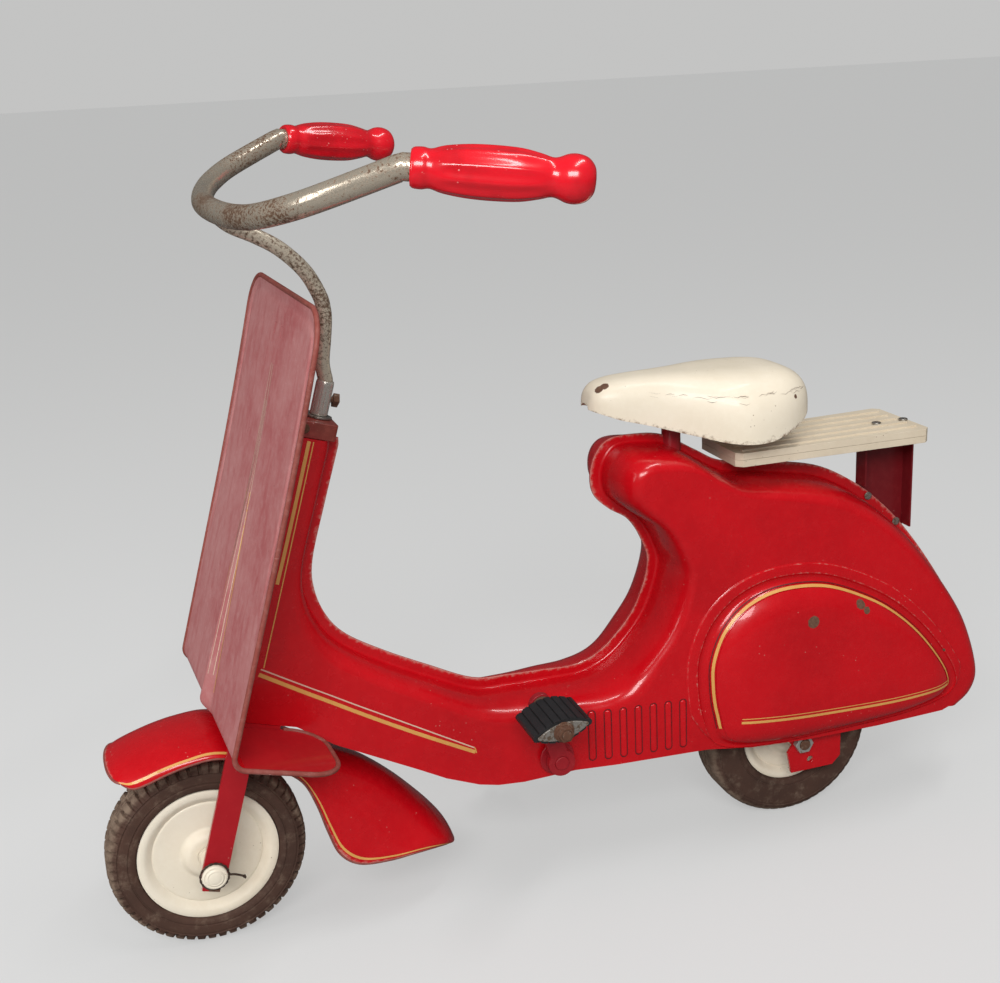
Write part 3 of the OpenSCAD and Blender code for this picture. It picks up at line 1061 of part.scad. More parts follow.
body_shell_left();
body_shell_right();
legshield();
head_channel();
head_cap();
cap_screws();
upper_bush();
lower_bush();
drive_frame_left();
drive_frame_right();
seat_socket();
seat_post();
saddle_mount();
saddle();
pillion_base();
pillion_top();
pillion_bracket();
pillion_screws();
rear_axle();
rear_axle_nuts();
rear_spacers();
crank_bearing_left();
crank_bearing_right();
chain_inner_links();
chain_outer_links();
frame_bolts();
fork();
steering_column();
clamp_collar();
clamp_bolt();
handlebar_stem();
handlebar();
grip_left();
grip_right();
front_mudguard();
mudguard_bolts();
front_axle();
axle_caps();
cotter_wires();
front_spacers();
front_tyre();
front_rim();
front_disc_left();
front_disc_right();
front_hub();
rear_tyre();
rear_disc_left();
rear_disc_right();
rear_hub();
rear_sprocket();
crank_axle();
crank_left();
crank_right();
chainwheel();
pedal_spindles();
pedal_nuts();
pedal_rubber_left();
pedal_frame_left();
pedal_rubber_right();
pedal_frame_right();
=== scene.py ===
"""Looks of the pedal scooter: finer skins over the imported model, paint, wear, light and camera."""
import json
import math
import bpy
import bmesh
import numpy as np
from mathutils import Matrix, Vector

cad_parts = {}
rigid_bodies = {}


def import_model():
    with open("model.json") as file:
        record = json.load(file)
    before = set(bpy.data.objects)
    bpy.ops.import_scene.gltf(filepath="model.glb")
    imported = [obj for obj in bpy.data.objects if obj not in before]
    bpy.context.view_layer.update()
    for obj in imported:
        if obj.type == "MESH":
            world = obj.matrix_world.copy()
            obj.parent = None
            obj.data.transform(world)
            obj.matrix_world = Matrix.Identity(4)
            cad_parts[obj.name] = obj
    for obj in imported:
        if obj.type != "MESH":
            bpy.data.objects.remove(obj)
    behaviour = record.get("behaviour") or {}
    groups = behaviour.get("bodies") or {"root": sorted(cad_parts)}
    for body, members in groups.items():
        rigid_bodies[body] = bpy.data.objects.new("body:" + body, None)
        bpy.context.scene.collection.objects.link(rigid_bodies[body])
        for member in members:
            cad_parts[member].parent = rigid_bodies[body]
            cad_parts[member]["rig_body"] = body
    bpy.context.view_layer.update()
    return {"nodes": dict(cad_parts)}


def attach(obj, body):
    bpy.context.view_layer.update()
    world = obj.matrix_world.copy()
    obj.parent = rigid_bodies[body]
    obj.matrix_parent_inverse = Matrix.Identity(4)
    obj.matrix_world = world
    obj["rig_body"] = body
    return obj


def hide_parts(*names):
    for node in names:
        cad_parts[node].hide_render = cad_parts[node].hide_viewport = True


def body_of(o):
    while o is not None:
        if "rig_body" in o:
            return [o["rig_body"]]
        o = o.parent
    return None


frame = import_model()
NODES = frame["nodes"]

# Dimensions in mm, x from the front axle
MID_X = 321.0
RAKE = math.radians(17)
WHEEL_R = 80.0
REAR_X = 527.0
TAIL_END = 722.0
TRAIL = 16.7
AXIS_X = TRAIL * math.cos(RAKE)
AXIS_Z = WHEEL_R - TRAIL * math.sin(RAKE)
SHEET, GAP, WASHER = 1.2, 0.3, 1.6
NECK_HW, TAIL_HW = 24.0, 52.0
TUNNEL_Z, BELLY_Z, SEAT_Z = 181.0, 100.0, 376.5
FOOT_UNDER = 117.7
HOUSING_TOP, HOUSING_BOTTOM = 352.0, FOOT_UNDER + SHEET + GAP
CAP_TOP, CAP_REAR = 365.0, 12.0
COLLAR_UNDER, COLLAR_H = CAP_TOP + GAP + WASHER + GAP, 27.0
COLUMN_TOP = COLLAR_UNDER - GAP
SHIELD_X, FOOT_BEND, HOUSING_FRONT = -41.0, 11.0, -38.0
FLANGE = 8.0
SEAT_X = REAR_X - 107
NOSE_X = SEAT_X - 75
PAINT_RISE, SIDE_RISE = 0.16, 0.14


def lerp(a, b, t):
    return a + (b - a) * t


def share_of(v):
    return max(0.0, min(1.0, v))


def sind(a):
    return math.sin(math.radians(a))


def cosd(a):
    return math.cos(math.radians(a))


def unit(v):
    return v / np.linalg.norm(v)


def row(p):
    """Millimetres from the front axle to metres in the shared frame."""
    return (np.asarray(p, float) - np.array([MID_X, 0, 0])) / 1000.0


def blend4(a, b, c, d, t):
    return 0.5 * (2 * b + (c - a) * t + (2 * a - 5 * b + 4 * c - d) * t * t
                  + (3 * b - a - 3 * c + d) * t ** 3)


def smooth(points, n, ring=False):
    """A smooth line or ring through points, n steps from each to the next."""
    p = np.asarray(points, float)
    m = len(p)
    spans = m if ring else m - 1
    ids = [[k % m if ring else min(max(k, 0), m - 1) for k in range(i - 1, i + 3)] for i in range(spans)]
    out = [blend4(*p[four], k / n) for four in ids for k in range(n)]
    return np.array(out if ring else out + [p[-1]])


def both_ways(half):
    """Numbers below zero, zero, and the same numbers above it."""
    return half + [0] + [-a for a in half[::-1]]


def neck(xp, zp):
    """From the leaning column's frame, in the mid-plane, to mm from the front axle."""
    return [AXIS_X + xp * math.cos(RAKE) + zp * math.sin(RAKE),
            AXIS_Z - xp * math.sin(RAKE) + zp * math.cos(RAKE)]


def steer(p, skew=0.0):
    """Points of the leaning column's frame, with the shield's skew in degrees, to mm from the front axle."""
    p = np.asarray(p, float)
    c, s = cosd(skew), sind(skew)
    x, y, z = p[..., 0] * c - p[..., 1] * s, p[..., 0] * s + p[..., 1] * c, p[..., 2]
    return np.stack([AXIS_X + x * math.cos(RAKE) + z * math.sin(RAKE), y,
                     AXIS_Z - x * math.sin(RAKE) + z * math.cos(RAKE)], axis=-1)


# Meshes
def body_name(node):
    found = body_of(NODES[node])
    return found if isinstance(found, str) else found[0]


def shade(mesh, sharp, weld=False):
    """Faces outward and smooth, with edges above an angle in degrees kept sharp."""
    work = bmesh.new()
    work.from_mesh(mesh)
    if weld:
        bmesh.ops.remove_doubles(work, verts=work.verts, dist=1e-5)
        bmesh.ops.dissolve_limit(work, angle_limit=math.radians(0.5), verts=work.verts, edges=work.edges)
    bmesh.ops.recalc_face_normals(work, faces=work.faces)
    for face in work.faces:
        face.smooth = True
    for edge in work.edges:
        if len(edge.link_faces) == 2 and edge.calc_face_angle(0) > math.radians(sharp):
            edge.smooth = False
    work.to_mesh(mesh)
    work.free()


def place(name, mesh, material, node, replace):
    """The piece in the scene: it rides with its node's body and may stand for the node."""
    obj = bpy.data.objects.new(name, mesh)
    bpy.context.scene.collection.objects.link(obj)
    mesh.materials.clear()
    mesh.materials.append(material)
    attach(obj, body_name(node))
    if replace:
        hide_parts(node)
    return obj


def make(name, verts, faces, material, node, sharp=40, wear=None, replace=True, slot=None):
    """A piece from points in mm and faces."""
    mesh = bpy.data.meshes.new(name)
    mesh.from_pydata([tuple(v) for v in row(verts)], [], [tuple(int(i) for i in f) for f in faces])
    mesh.validate()
    if wear is not None:
        layer = mesh.attributes.new("wear", "FLOAT", "POINT")
        layer.data.foreach_set("value", np.asarray(wear, dtype=np.float32))
    shade(mesh, sharp)
    return place(name, mesh, material, node, replace)


def weighted(obj):
    mod = obj.modifiers.new("weighted", "WEIGHTED_NORMAL")
    mod.keep_sharp = True
    mod.weight = 80


def soften(node, width, material):
    """A bevelled copy of a CAD node stands for it."""
    mesh = NODES[node].data.copy()
    mesh.name = node + "_soft"
    shade(mesh, 32, weld=True)
    obj = place(node + "_soft", mesh, material, node, True)
    mod = obj.modifiers.new("bevel", "BEVEL")
    mod.width = width / 1000
    mod.segments = 2
    mod.limit_method = "ANGLE"
    mod.angle_limit = math.radians(30)
    weighted(obj)


def grid_faces(rows, cols, closed=False, skip=()):
    """Squares between rows of points; skip names cells left open."""
    return [(i * cols + j, i * cols + (j + 1) % cols, (i + 1) * cols + (j + 1) % cols, (i + 1) * cols + j)
            for i in range(rows - 1) for j in range(cols if closed else cols - 1) if (i, j) not in skip]


def pressed(outer, inner, skip=()):
    """A sheet with thickness from rows of outer and inner points; skip names cells left open as holes."""
    outer, inner = np.asarray(outer), np.asarray(inner)
    rows, cols = outer.shape[:2]
    size = rows * cols
    skip = set(skip)
    faces = grid_faces(rows, cols, skip=skip)
    faces += [tuple(v + size for v in f[::-1]) for f in faces]
    border = ([(0, j) for j in range(cols)] + [(i, cols - 1) for i in range(1, rows)]
              + [(rows - 1, j) for j in range(cols - 2, -1, -1)] + [(i, 0) for i in range(rows - 2, 0, -1)])
    ids = [i * cols + j for i, j in border]
    faces += [(b, a, a + size, b + size) for a, b in zip(ids, ids[1:] + ids[:1])]
    for i, j in skip:
        for a, b, near in [((i, j), (i, j + 1), (i - 1, j)), ((i + 1, j), (i + 1, j + 1), (i + 1, j)),
                           ((i, j), (i + 1, j), (i, j - 1)), ((i, j + 1), (i + 1, j + 1), (i, j + 1))]:
            if near not in skip:
                p, q = a[0] * cols + a[1], b[0] * cols + b[1]
                faces.append((p, q, q + size, p + size))
    return np.concatenate([outer.reshape(-1, 3), inner.reshape(-1, 3)]), faces


def sheet_wear(rows, cols, worth):
    """Wear of both faces of a pressed sheet, from a function of row and column."""
    return [worth(i, j) for i in range(rows) for j in range(cols)] * 2


def from_edge(values, j, cols):
    """The value for a column, counted in from the nearer edge."""
    k = min(j, cols - 1 - j)
    return values[k] if k < len(values) else 0.0


def end_faces(rings, n):
    return [tuple(range(n - 1, -1, -1)), tuple((rings - 1) * n + j for j in range(n))]


def sweep(path, radius, sides, side):
    """A round bar along a path of points in mm."""
    path = np.asarray(path, float)
    n = len(path)
    a = np.asarray(side, float)
    verts = []
    for i in range(n):
        t = unit(path[min(i + 1, n - 1)] - path[max(i - 1, 0)])
        a = unit(a - np.dot(a, t) * t)
        b = np.cross(t, a)
        for j in range(sides):
            w = 2 * math.pi * j / sides
            verts.append(path[i] + radius * (math.cos(w) * a + math.sin(w) * b))
    return np.array(verts), grid_faces(n, sides, closed=True) + end_faces(n, sides)


def lathe(profile, centre, axis, up, steps, wobble=None, closed=False):
    """Rings round an axis: profile is [radius, distance along the axis]."""
    axis = unit(np.asarray(axis, float))
    u = np.asarray(up, float)
    u = unit(u - np.dot(u, axis) * axis)
    v = np.cross(axis, u)
    centre = np.asarray(centre, float)
    verts = []
    for r, h in profile:
        for j in range(steps):
            w = 2 * math.pi * j / steps
            rr = wobble(r, h, w) if wobble else r
            verts.append(centre + axis * h + rr * (math.cos(w) * u + math.sin(w) * v))
    n = len(profile)
    faces = grid_faces(n, steps, closed=True)
    if closed:
        faces += [((n - 1) * steps + j, (n - 1) * steps + (j + 1) % steps, (j + 1) % steps, j)
                  for j in range(steps)]
    else:
        faces += end_faces(n, steps)
    return np.array(verts), faces


def dome(rings, wears):
    """Closed rings with a face over the last, and the wear of each ring from the first."""
    n = len(rings[0])
    faces = grid_faces(len(rings), n, closed=True) + end_faces(len(rings), n)[1:]
    wear = np.repeat(list(wears) + [0.0] * (len(rings) - len(wears)), n)
    return np.array([p for r in rings for p in r]), faces, wear


def joined(parts):
    faces, base = [], 0
    for v, f in parts:
        faces += [tuple(i + base for i in face) for face in f]
        base += len(v)
    return np.concatenate([np.asarray(v) for v, f in parts]), faces


def mirrored(part):
    v, f = part
    return np.array(v) * [1, -1, 1], [tuple(reversed(face)) for face in f]


def ribbon(name, left, right, material, node):
    """A painted line: a strip between two rows of points that lie just proud of a skin."""
    n = len(left)
    faces = [(i, i + 1, n + i + 1, n + i) for i in range(n - 1)]
    make(name, np.concatenate([left, right]), faces, material, node, replace=False)


# Materials
def feed(tree, socket, value):
    """Links a socket to another one, or gives it a value."""
    if hasattr(value, "links"):
        tree.links.new(value, socket)
    else:
        socket.default_value = value


def add_node(tree, kind, inputs, **fields):
    """A shader node with its inputs fed and its fields set."""
    node = tree.nodes.new("ShaderNode" + kind)
    for name, value in fields.items():
        setattr(node, name, value)
    for key, value in inputs.items():
        feed(tree, node.inputs[key], value)
    return node


def add_mix(tree, fac, a, b):
    a, b = [v if hasattr(v, "links") else (*v, 1.0) for v in (a, b)]
    return add_node(tree, "Mix", {0: fac, 6: a, 7: b}, data_type="RGBA").outputs[2]


class Nodes:
    """A material whose shader grows by short calls."""

    def __init__(self, name):
        self.mat = bpy.data.materials.new(name)
        self.mat.use_nodes = True
        self.tree = self.mat.node_tree
        self.tree.nodes.clear()
        self.bsdf = add_node(self.tree, "BsdfPrincipled", {})
        add_node(self.tree, "OutputMaterial", {0: self.bsdf.outputs[0]})
        self.coord = add_node(self.tree, "TexCoord", {}).outputs["Object"]

    def put(self, **values):
        """Feeds the shader's inputs, named with _ for each blank."""
        for name, value in values.items():
            feed(self.tree, self.bsdf.inputs[name.replace("_", " ")], value)

    def stretch(self, scale):
        return add_node(self.tree, "Mapping", {0: self.coord, "Scale": scale}).outputs[0]

    def noise(self, scale, detail=4.0, rough=0.6, coord=None, warp=0.0):
        return add_node(self.tree, "TexNoise", {
            "Vector": coord or self.coord, "Scale": scale, "Detail": detail, "Roughness": rough,
            "Distortion": warp}).outputs["Fac"]

    def cells(self, scale):
        return add_node(self.tree, "TexVoronoi", {"Vector": self.coord, "Scale": scale}).outputs["Distance"]

    def ramp(self, value, low, high, flip=False):
        ends = {"Value": value, "From Min": low, "From Max": high,
                "To Min": float(flip), "To Max": float(not flip)}
        return add_node(self.tree, "MapRange", ends, interpolation_type="SMOOTHSTEP").outputs[0]

    def math(self, kind, a, b, clamp=True):
        return add_node(self.tree, "Math", {0: a, 1: b}, operation=kind, use_clamp=clamp).outputs[0]

    def times(self, a, b):
        return self.math("MULTIPLY", a, b)

    def plus(self, a, b):
        return self.math("ADD", a, b)

    def mix(self, fac, a, b):
        return add_mix(self.tree, fac, a, b)

    def vector(self, kind, inputs, output=0):
        return add_node(self.tree, "VectorMath", inputs, operation=kind).outputs[output]

    def near(self, spot, radius):
        """1 within a ragged blot round a point given in mm from the front axle."""
        far = self.vector("DISTANCE", {0: self.coord, 1: tuple(float(v) for v in row(spot))}, "Value")
        ragged = self.times(self.noise(900.0, 2.0), 0.5)
        total = self.math("ADD", self.math("DIVIDE", far, radius / 1000.0, clamp=False), ragged, clamp=False)
        return self.ramp(total, 1.2, 1.3, flip=True)

    def wear(self):
        return add_node(self.tree, "Attribute", {}, attribute_name="wear").outputs["Fac"]

    def bump(self, height, strength, distance):
        node = add_node(self.tree, "Bump", {"Height": height, "Strength": strength, "Distance": distance})
        self.put(Normal=node.outputs[0])


def enamel(name, base, dark, light, chip=(0.10, 0.035, 0.022), rough=0.3, coat=0.25, specks=0.5, fade=0.5,
           chips=(), speck_colour=(0.62, 0.33, 0.28), worn=(0.16, 0.05, 0.03), streaks=0.0):
    """Old paint: darker and lighter patches, streaks, specks, scratches, rubbed edges, rust spots, chips."""
    n = Nodes(name)
    broad = n.ramp(n.noise(9.0, 5.0, 0.6), 0.35, 0.7)
    fine = n.ramp(n.noise(160.0, 4.0, 0.7), 0.4, 0.75)
    colour = n.mix(n.times(broad, fade), base, dark)
    colour = n.mix(n.times(fine, 0.35 * fade), colour, light)
    if streaks:
        run = n.ramp(n.noise(120.0, 4.0, 0.65, n.stretch((1.0, 1.0, 0.08)), 0.4), 0.46, 0.66)
        colour = n.mix(n.times(run, streaks), colour, dark)
    small = n.ramp(n.cells(210.0), 0.07, 0.12, flip=True)
    sparse = n.ramp(n.noise(40.0, 2.0), 0.56, 0.66)
    colour = n.mix(n.times(n.times(small, sparse), specks), colour, speck_colour)
    scratch = n.ramp(n.noise(70.0, 2.0, 0.5, n.stretch((1.0, 1.0, 14.0)), 1.0), 0.71, 0.75)
    colour = n.mix(n.times(scratch, 0.30 * specks), colour, light)
    rub = n.ramp(n.plus(n.times(n.wear(), 0.62), n.times(n.noise(240.0, 5.0, 0.75), 0.5)), 0.46, 0.62)
    colour = n.mix(rub, colour, worn)
    spots = n.ramp(n.noise(330.0, 3.0, 0.7), 0.735, 0.765)
    colour = n.mix(n.times(spots, 0.8), colour, chip)
    mask = None
    for spot, radius in chips:
        blot = n.near(spot, radius)
        mask = n.math("MAXIMUM", mask, blot) if mask else blot
    if mask:
        colour = n.mix(mask, colour, n.mix(n.noise(500.0, 3.0), (0.055, 0.02, 0.012), (0.20, 0.11, 0.07)))
    n.put(Base_Color=colour, Roughness=n.plus(n.times(n.noise(60.0, 3.0), 0.22), rough - 0.1),
          Coat_Weight=coat, Coat_Roughness=0.06, Specular_IOR_Level=0.3)
    n.bump(n.plus(n.times(n.noise(11.0, 2.0), 0.48), n.times(n.noise(420.0, 2.0), 0.03)), 0.5, 0.0022)
    return n.mat


def metal(name, base, rusty, amount, rough=0.3, scale=260.0, metallic=1.0):
    """Bare metal with rust over a part of it."""
    n = Nodes(name)
    grain = n.noise(scale, 6.0, 0.75)
    broad = n.noise(14.0, 3.0, 0.6)
    mask = n.ramp(n.plus(n.times(grain, 0.72), n.times(broad, 0.36)),
                  0.64 - amount * 0.3, 0.72 - amount * 0.22)
    n.put(Base_Color=n.mix(mask, base, n.mix(n.noise(420.0, 4.0), rusty, tuple(v * 0.35 for v in rusty))),
          Metallic=n.math("SUBTRACT", metallic, n.times(mask, 0.85 * metallic)),
          Roughness=n.plus(n.times(mask, 0.45), rough))
    n.bump(n.times(grain, 0.5), 0.35, 0.0003)
    return n.mat


def plain(name, base, rough=0.6, vary=0.2):
    n = Nodes(name)
    n.put(Base_Color=n.mix(n.noise(130.0, 4.0), tuple(v * (1 - vary) for v in base),
                           tuple(min(1.0, v * (1 + vary)) for v in base)), Roughness=rough)
    return n.mat


RED = enamel("red_enamel", (0.50, 0.002, 0.0065), (0.33, 0.0015, 0.0045), (0.60, 0.013, 0.016),
             rough=0.25, coat=0.4, worn=(0.50, 0.19, 0.16),
             chips=[((519, -67.5, 209), 5.6), ((568, -67, 217), 5.6), ((573, -67, 210), 3.6),
                    ((662, -55, 150), 2.6)])
LEAF_RED = enamel("leaf_red", (0.40, 0.006, 0.011), (0.22, 0.004, 0.007), (0.50, 0.02, 0.022),
                  rough=0.34, coat=0.2)
DARK_RED = enamel("dark_red_enamel", (0.30, 0.008, 0.014), (0.13, 0.004, 0.007), (0.42, 0.03, 0.03),
                  rough=0.38)
FADED = enamel("faded_red", (0.43, 0.175, 0.17), (0.33, 0.062, 0.065), (0.55, 0.31, 0.30),
               rough=0.5, coat=0.0, speck_colour=(0.09, 0.03, 0.025), specks=0.85,
               worn=(0.25, 0.12, 0.09), fade=0.75, streaks=0.4)
PILLION = enamel("pillion_cream", (0.62, 0.53, 0.40), (0.47, 0.38, 0.27), (0.74, 0.66, 0.54),
                 chip=(0.08, 0.045, 0.03), rough=0.5, coat=0.05, speck_colour=(0.18, 0.11, 0.07), specks=0.9)
DISC = enamel("disc_white", (0.78, 0.71, 0.58), (0.63, 0.53, 0.39), (0.85, 0.80, 0.69),
              chip=(0.10, 0.06, 0.035), rough=0.5, coat=0.05, speck_colour=(0.25, 0.17, 0.10), specks=0.8)
CHROME = metal("worn_chrome", (0.62, 0.54, 0.43), (0.16, 0.08, 0.04), 0.52, rough=0.2, scale=460.0,
               metallic=0.7)
COLLAR = metal("collar_chrome", (0.60, 0.56, 0.50), (0.15, 0.09, 0.05), 0.25, rough=0.25, scale=380.0,
               metallic=0.6)
STEM = metal("rusty_stem", (0.64, 0.56, 0.44), (0.14, 0.075, 0.04), 0.46, rough=0.28, scale=360.0,
             metallic=0.55)
STEEL = metal("bare_steel", (0.42, 0.40, 0.36), (0.14, 0.08, 0.05), 0.45, rough=0.4)
RUST = metal("rusty_steel", (0.26, 0.19, 0.14), (0.15, 0.065, 0.035), 0.9, rough=0.55, metallic=0.6)
DARK_RUST = metal("dark_rust", (0.10, 0.07, 0.05), (0.06, 0.03, 0.02), 0.7, rough=0.6, metallic=0.5)
GOLD = enamel("gold_line", (0.64, 0.33, 0.085), (0.46, 0.19, 0.045), (0.72, 0.45, 0.17),
              specks=0.4, rough=0.4, worn=(0.3, 0.02, 0.015), speck_colour=(0.35, 0.03, 0.02))
LINE_CREAM = enamel("cream_line", (0.62, 0.45, 0.34), (0.50, 0.28, 0.22), (0.7, 0.55, 0.45),
                    specks=0.6, rough=0.45, speck_colour=(0.4, 0.15, 0.13))
WORN_EDGE = enamel("worn_edge", (0.23, 0.05, 0.038), (0.11, 0.032, 0.022), (0.50, 0.28, 0.24),
                   specks=0.9, rough=0.5, coat=0.0)
SADDLE_PAINT = enamel("saddle_cream", (0.75, 0.665, 0.53), (0.65, 0.56, 0.42), (0.81, 0.74, 0.62),
                      chip=(0.09, 0.05, 0.03), rough=0.42, coat=0.12, speck_colour=(0.24, 0.15, 0.09),
                      specks=0.9, worn=(0.17, 0.09, 0.05), fade=0.6,
                      chips=[((350.5, -12, 421.8), 3.9), ((356, -12, 422.8), 3.7), ((478, -55, 396), 2.2),
                             ((455, -52, 398), 1.8), ((510, -50, 404), 2.0)])
CRACK = plain("saddle_crack", (0.16, 0.10, 0.07), 0.8, vary=0.6)
FORK_RED = enamel("fork_red", (0.38, 0.006, 0.012), (0.24, 0.004, 0.008), (0.48, 0.018, 0.022), rough=0.34,
                  chips=[((0, -50, 66), 6.0), ((-3, -50, 62), 5.0)])
CAP_RED = enamel("cap_red", (0.28, 0.018, 0.018), (0.13, 0.040, 0.024), (0.40, 0.10, 0.07),
                 rough=0.45, specks=0.9, fade=0.85)
BRACKET_RED = enamel("bracket_red", (0.17, 0.006, 0.010), (0.09, 0.004, 0.006), (0.26, 0.03, 0.03), rough=0.4)
# dark red for painted shade: thin lines round each louvre and inside the cover's gold ring
SHADE = plain("seam_shade", (0.09, 0.004, 0.006), 0.6)
PEDAL = plain("pedal_rubber", (0.016, 0.015, 0.016), 0.5, vary=0.4)
PLATE = metal("dirty_plate", (0.30, 0.28, 0.25), (0.12, 0.08, 0.05), 0.6, rough=0.5, metallic=0.6)
ZINC = metal("dull_zinc", (0.55, 0.53, 0.49), (0.20, 0.13, 0.09), 0.35, rough=0.42, metallic=0.7)


def tyre_material(centre_x):
    """Dark rubber, brown at the side, dusty on the tread."""
    n = Nodes("tyre_rubber_%d" % centre_x)
    from_hub = n.vector("SUBTRACT", {0: n.coord, 1: tuple(float(v) for v in row((centre_x, 0, WHEEL_R)))})
    reach = n.vector("LENGTH", {0: n.vector("MULTIPLY", {0: from_hub, 1: (1, 0, 1)})}, "Value")
    tread = n.ramp(reach, 0.0735, 0.0785)
    dusty = n.ramp(n.plus(n.times(n.noise(90.0, 6.0, 0.75), 0.8), n.times(tread, 0.22)), 0.38, 0.72)
    base = n.mix(n.noise(30.0, 4.0), (0.036, 0.019, 0.014), (0.092, 0.045, 0.030))
    n.put(Base_Color=n.mix(n.times(dusty, 0.56), base, (0.31, 0.23, 0.165)), Roughness=0.78,
          Specular_IOR_Level=0.25)
    n.bump(n.noise(600.0, 4.0), 0.35, 0.0004)
    return n.mat


def grip_material():
    n = Nodes("grip_red")
    colour = n.mix(n.ramp(n.noise(30.0, 3.0), 0.4, 0.7), (0.64, 0.007, 0.016), (0.46, 0.006, 0.012))
    small = n.times(n.ramp(n.cells(260.0), 0.10, 0.16, flip=True), n.ramp(n.noise(60.0, 2.0), 0.52, 0.6))
    colour = n.mix(n.times(small, 0.55), colour, (0.85, 0.42, 0.38))
    colour = n.mix(n.ramp(n.noise(240.0, 4.0, 0.7), 0.70, 0.74), colour, (0.20, 0.02, 0.02))
    n.put(Base_Color=colour, Roughness=0.22, Coat_Weight=0.4, Coat_Roughness=0.08, Subsurface_Weight=0.06,
          Subsurface_Scale=0.004)
    return n.mat


GRIP = grip_material()


# Half shells of the body
def about(x, z, *rows):
    """Pairs of a point on the fin's rim and one on the flat side, as offsets from one place."""
    return [[[x + a, z + b], [x + c, z + d]] for a, b, c, d in rows]


BODY_LINE = [
    [neck(19, HOUSING_TOP), neck(1, HOUSING_TOP)],
    [neck(20, HOUSING_TOP - 4), neck(1, HOUSING_TOP - 5)],
    [neck(20.3, HOUSING_TOP - 10), neck(1, HOUSING_TOP - 11)],
    [neck(19.5, 300), neck(1, 300)],
    [neck(19.5, 252), neck(2, 248)],
    [neck(26.4, 227), neck(8, 214)],
    *about(REAR_X, TUNNEL_Z, (-411.3, 79.5, -435, 69), (-396.5, 61, -419, 48), (-367, 41.5, -381, 23),
           (-330.5, 21.5, -339, 0), (-293, 2.8, -297, -22), (-264, 0, -261, -30), (-231.5, -1.5, -222, -28),
           (-203, -2.5, -186, -28), (-180, 4.5, -158, -18.5), (-159, 22, -138, 9), (-142, 45, -119, 38),
           (-131, 79, -108, 77)),
    *about(REAR_X, SEAT_Z, (-137, -92.5, -115, -95)),
    *about(NOSE_X, SEAT_Z, (33.3, -73.5, 56, -73.5), (16, -61.5, 40, -54.5), (3, -47.5, 31, -41.5),
           (0.5, -30, 28.5, -30.5), (6, -12.5, 32, -23), (18, -1.5, 41, -21), (40, 0, 56, -22),
           (67, -4, 77, -27.5), (97, -21, 101, -43.5)),
    *about(REAR_X, SEAT_Z, (-62, -33.5, -59, -54.5), (-27, -39, -29, -61), (30, -50.5, 18, -74),
           (70, -71.5, 53, -92.5)),
    *about(TAIL_END, SEAT_Z, (-94, -97, -114, -116.5), (-69, -124, -90, -142.5), (-43, -159, -67, -171.5),
           (-20.5, -195, -48, -202.5), (-6, -231.5, -36, -233.5), (0, -261.5, -31, -257.5),
           (-6, -281, -37, -272.5), (-20, -289.5, -50, -284.5))]
STEPS = 6
TAPER_FROM, TAPER_TO = 7, 13
RIM = smooth([p[0] for p in BODY_LINE], STEPS)
FACE = smooth([p[1] for p in BODY_LINE], STEPS)
TAPER_X0, TAPER_X1 = BODY_LINE[TAPER_FROM][1][0], BODY_LINE[TAPER_TO][1][0]


def side_y(x, z=0.0):
    """Half width of the body's flat side, which widens from the neck to the tail."""
    return lerp(NECK_HW, TAIL_HW, share_of((x - TAPER_X0) / (TAPER_X1 - TAPER_X0)))


LOWER = [
    [TAIL_END - 57, BELLY_Z - 10.5], [REAR_X + 70, BELLY_Z - 12], [REAR_X, BELLY_Z - 11],
    [REAR_X - 57, BELLY_Z - 7], [REAR_X - 100, BELLY_Z], [TAPER_X1, BELLY_Z + 4],
    [REAR_X - 221, BELLY_Z + 4.5], [REAR_X - 265, BELLY_Z + 0.5], [REAR_X - 287, BELLY_Z + 1],
    [REAR_X - 303, BELLY_Z + 4], [REAR_X - 330, BELLY_Z + 14], [REAR_X - 353, BELLY_Z + 26],
    [TAPER_X0, BELLY_Z + 59],
    neck(30, HOUSING_BOTTOM), neck(SHIELD_X + FOOT_BEND + 2, HOUSING_BOTTOM),
    neck(HOUSING_FRONT, FOOT_UNDER + FOOT_BEND + 2), neck(HOUSING_FRONT, HOUSING_TOP)]
LOW_TAIL, LOW_NECK = 5, 12
CORNER = [0, 5, 11, 18, 26, 34, 42, 50, 58, 65, 72, 79, 85, 90]


def section(d, w, outside):
    """Points [in from the rim, out from the mid-plane] of a shell's face: flange, corner, side."""
    if outside:
        s, y = FLANGE + 1.8, SHEET + 3
        rows = [[0, SHEET - 0.35], [0.35, SHEET], [FLANGE - 0.9, SHEET], [FLANGE - 0.3, SHEET + 0.12],
                [FLANGE + 0.5, SHEET + 0.5], [FLANGE + 1.2, SHEET + 1.2]]
    else:
        s, y, w = FLANGE + 1.8 + SHEET, SHEET + 2.7, w - SHEET
        rows = [[0, 0.02], [0.35, 0.02], [FLANGE - 0.9, 0.02], [FLANGE, 0.02], [FLANGE + 0.9, 0.1],
                [FLANGE + 2.0, 0.6]]
    corner = [(max(cosd(a), 0) ** 0.8, max(sind(a), 0) ** 0.8) for a in CORNER]
    return rows + [[s + (d - s) * (1 - c), y + (w - y) * q] for c, q in corner]


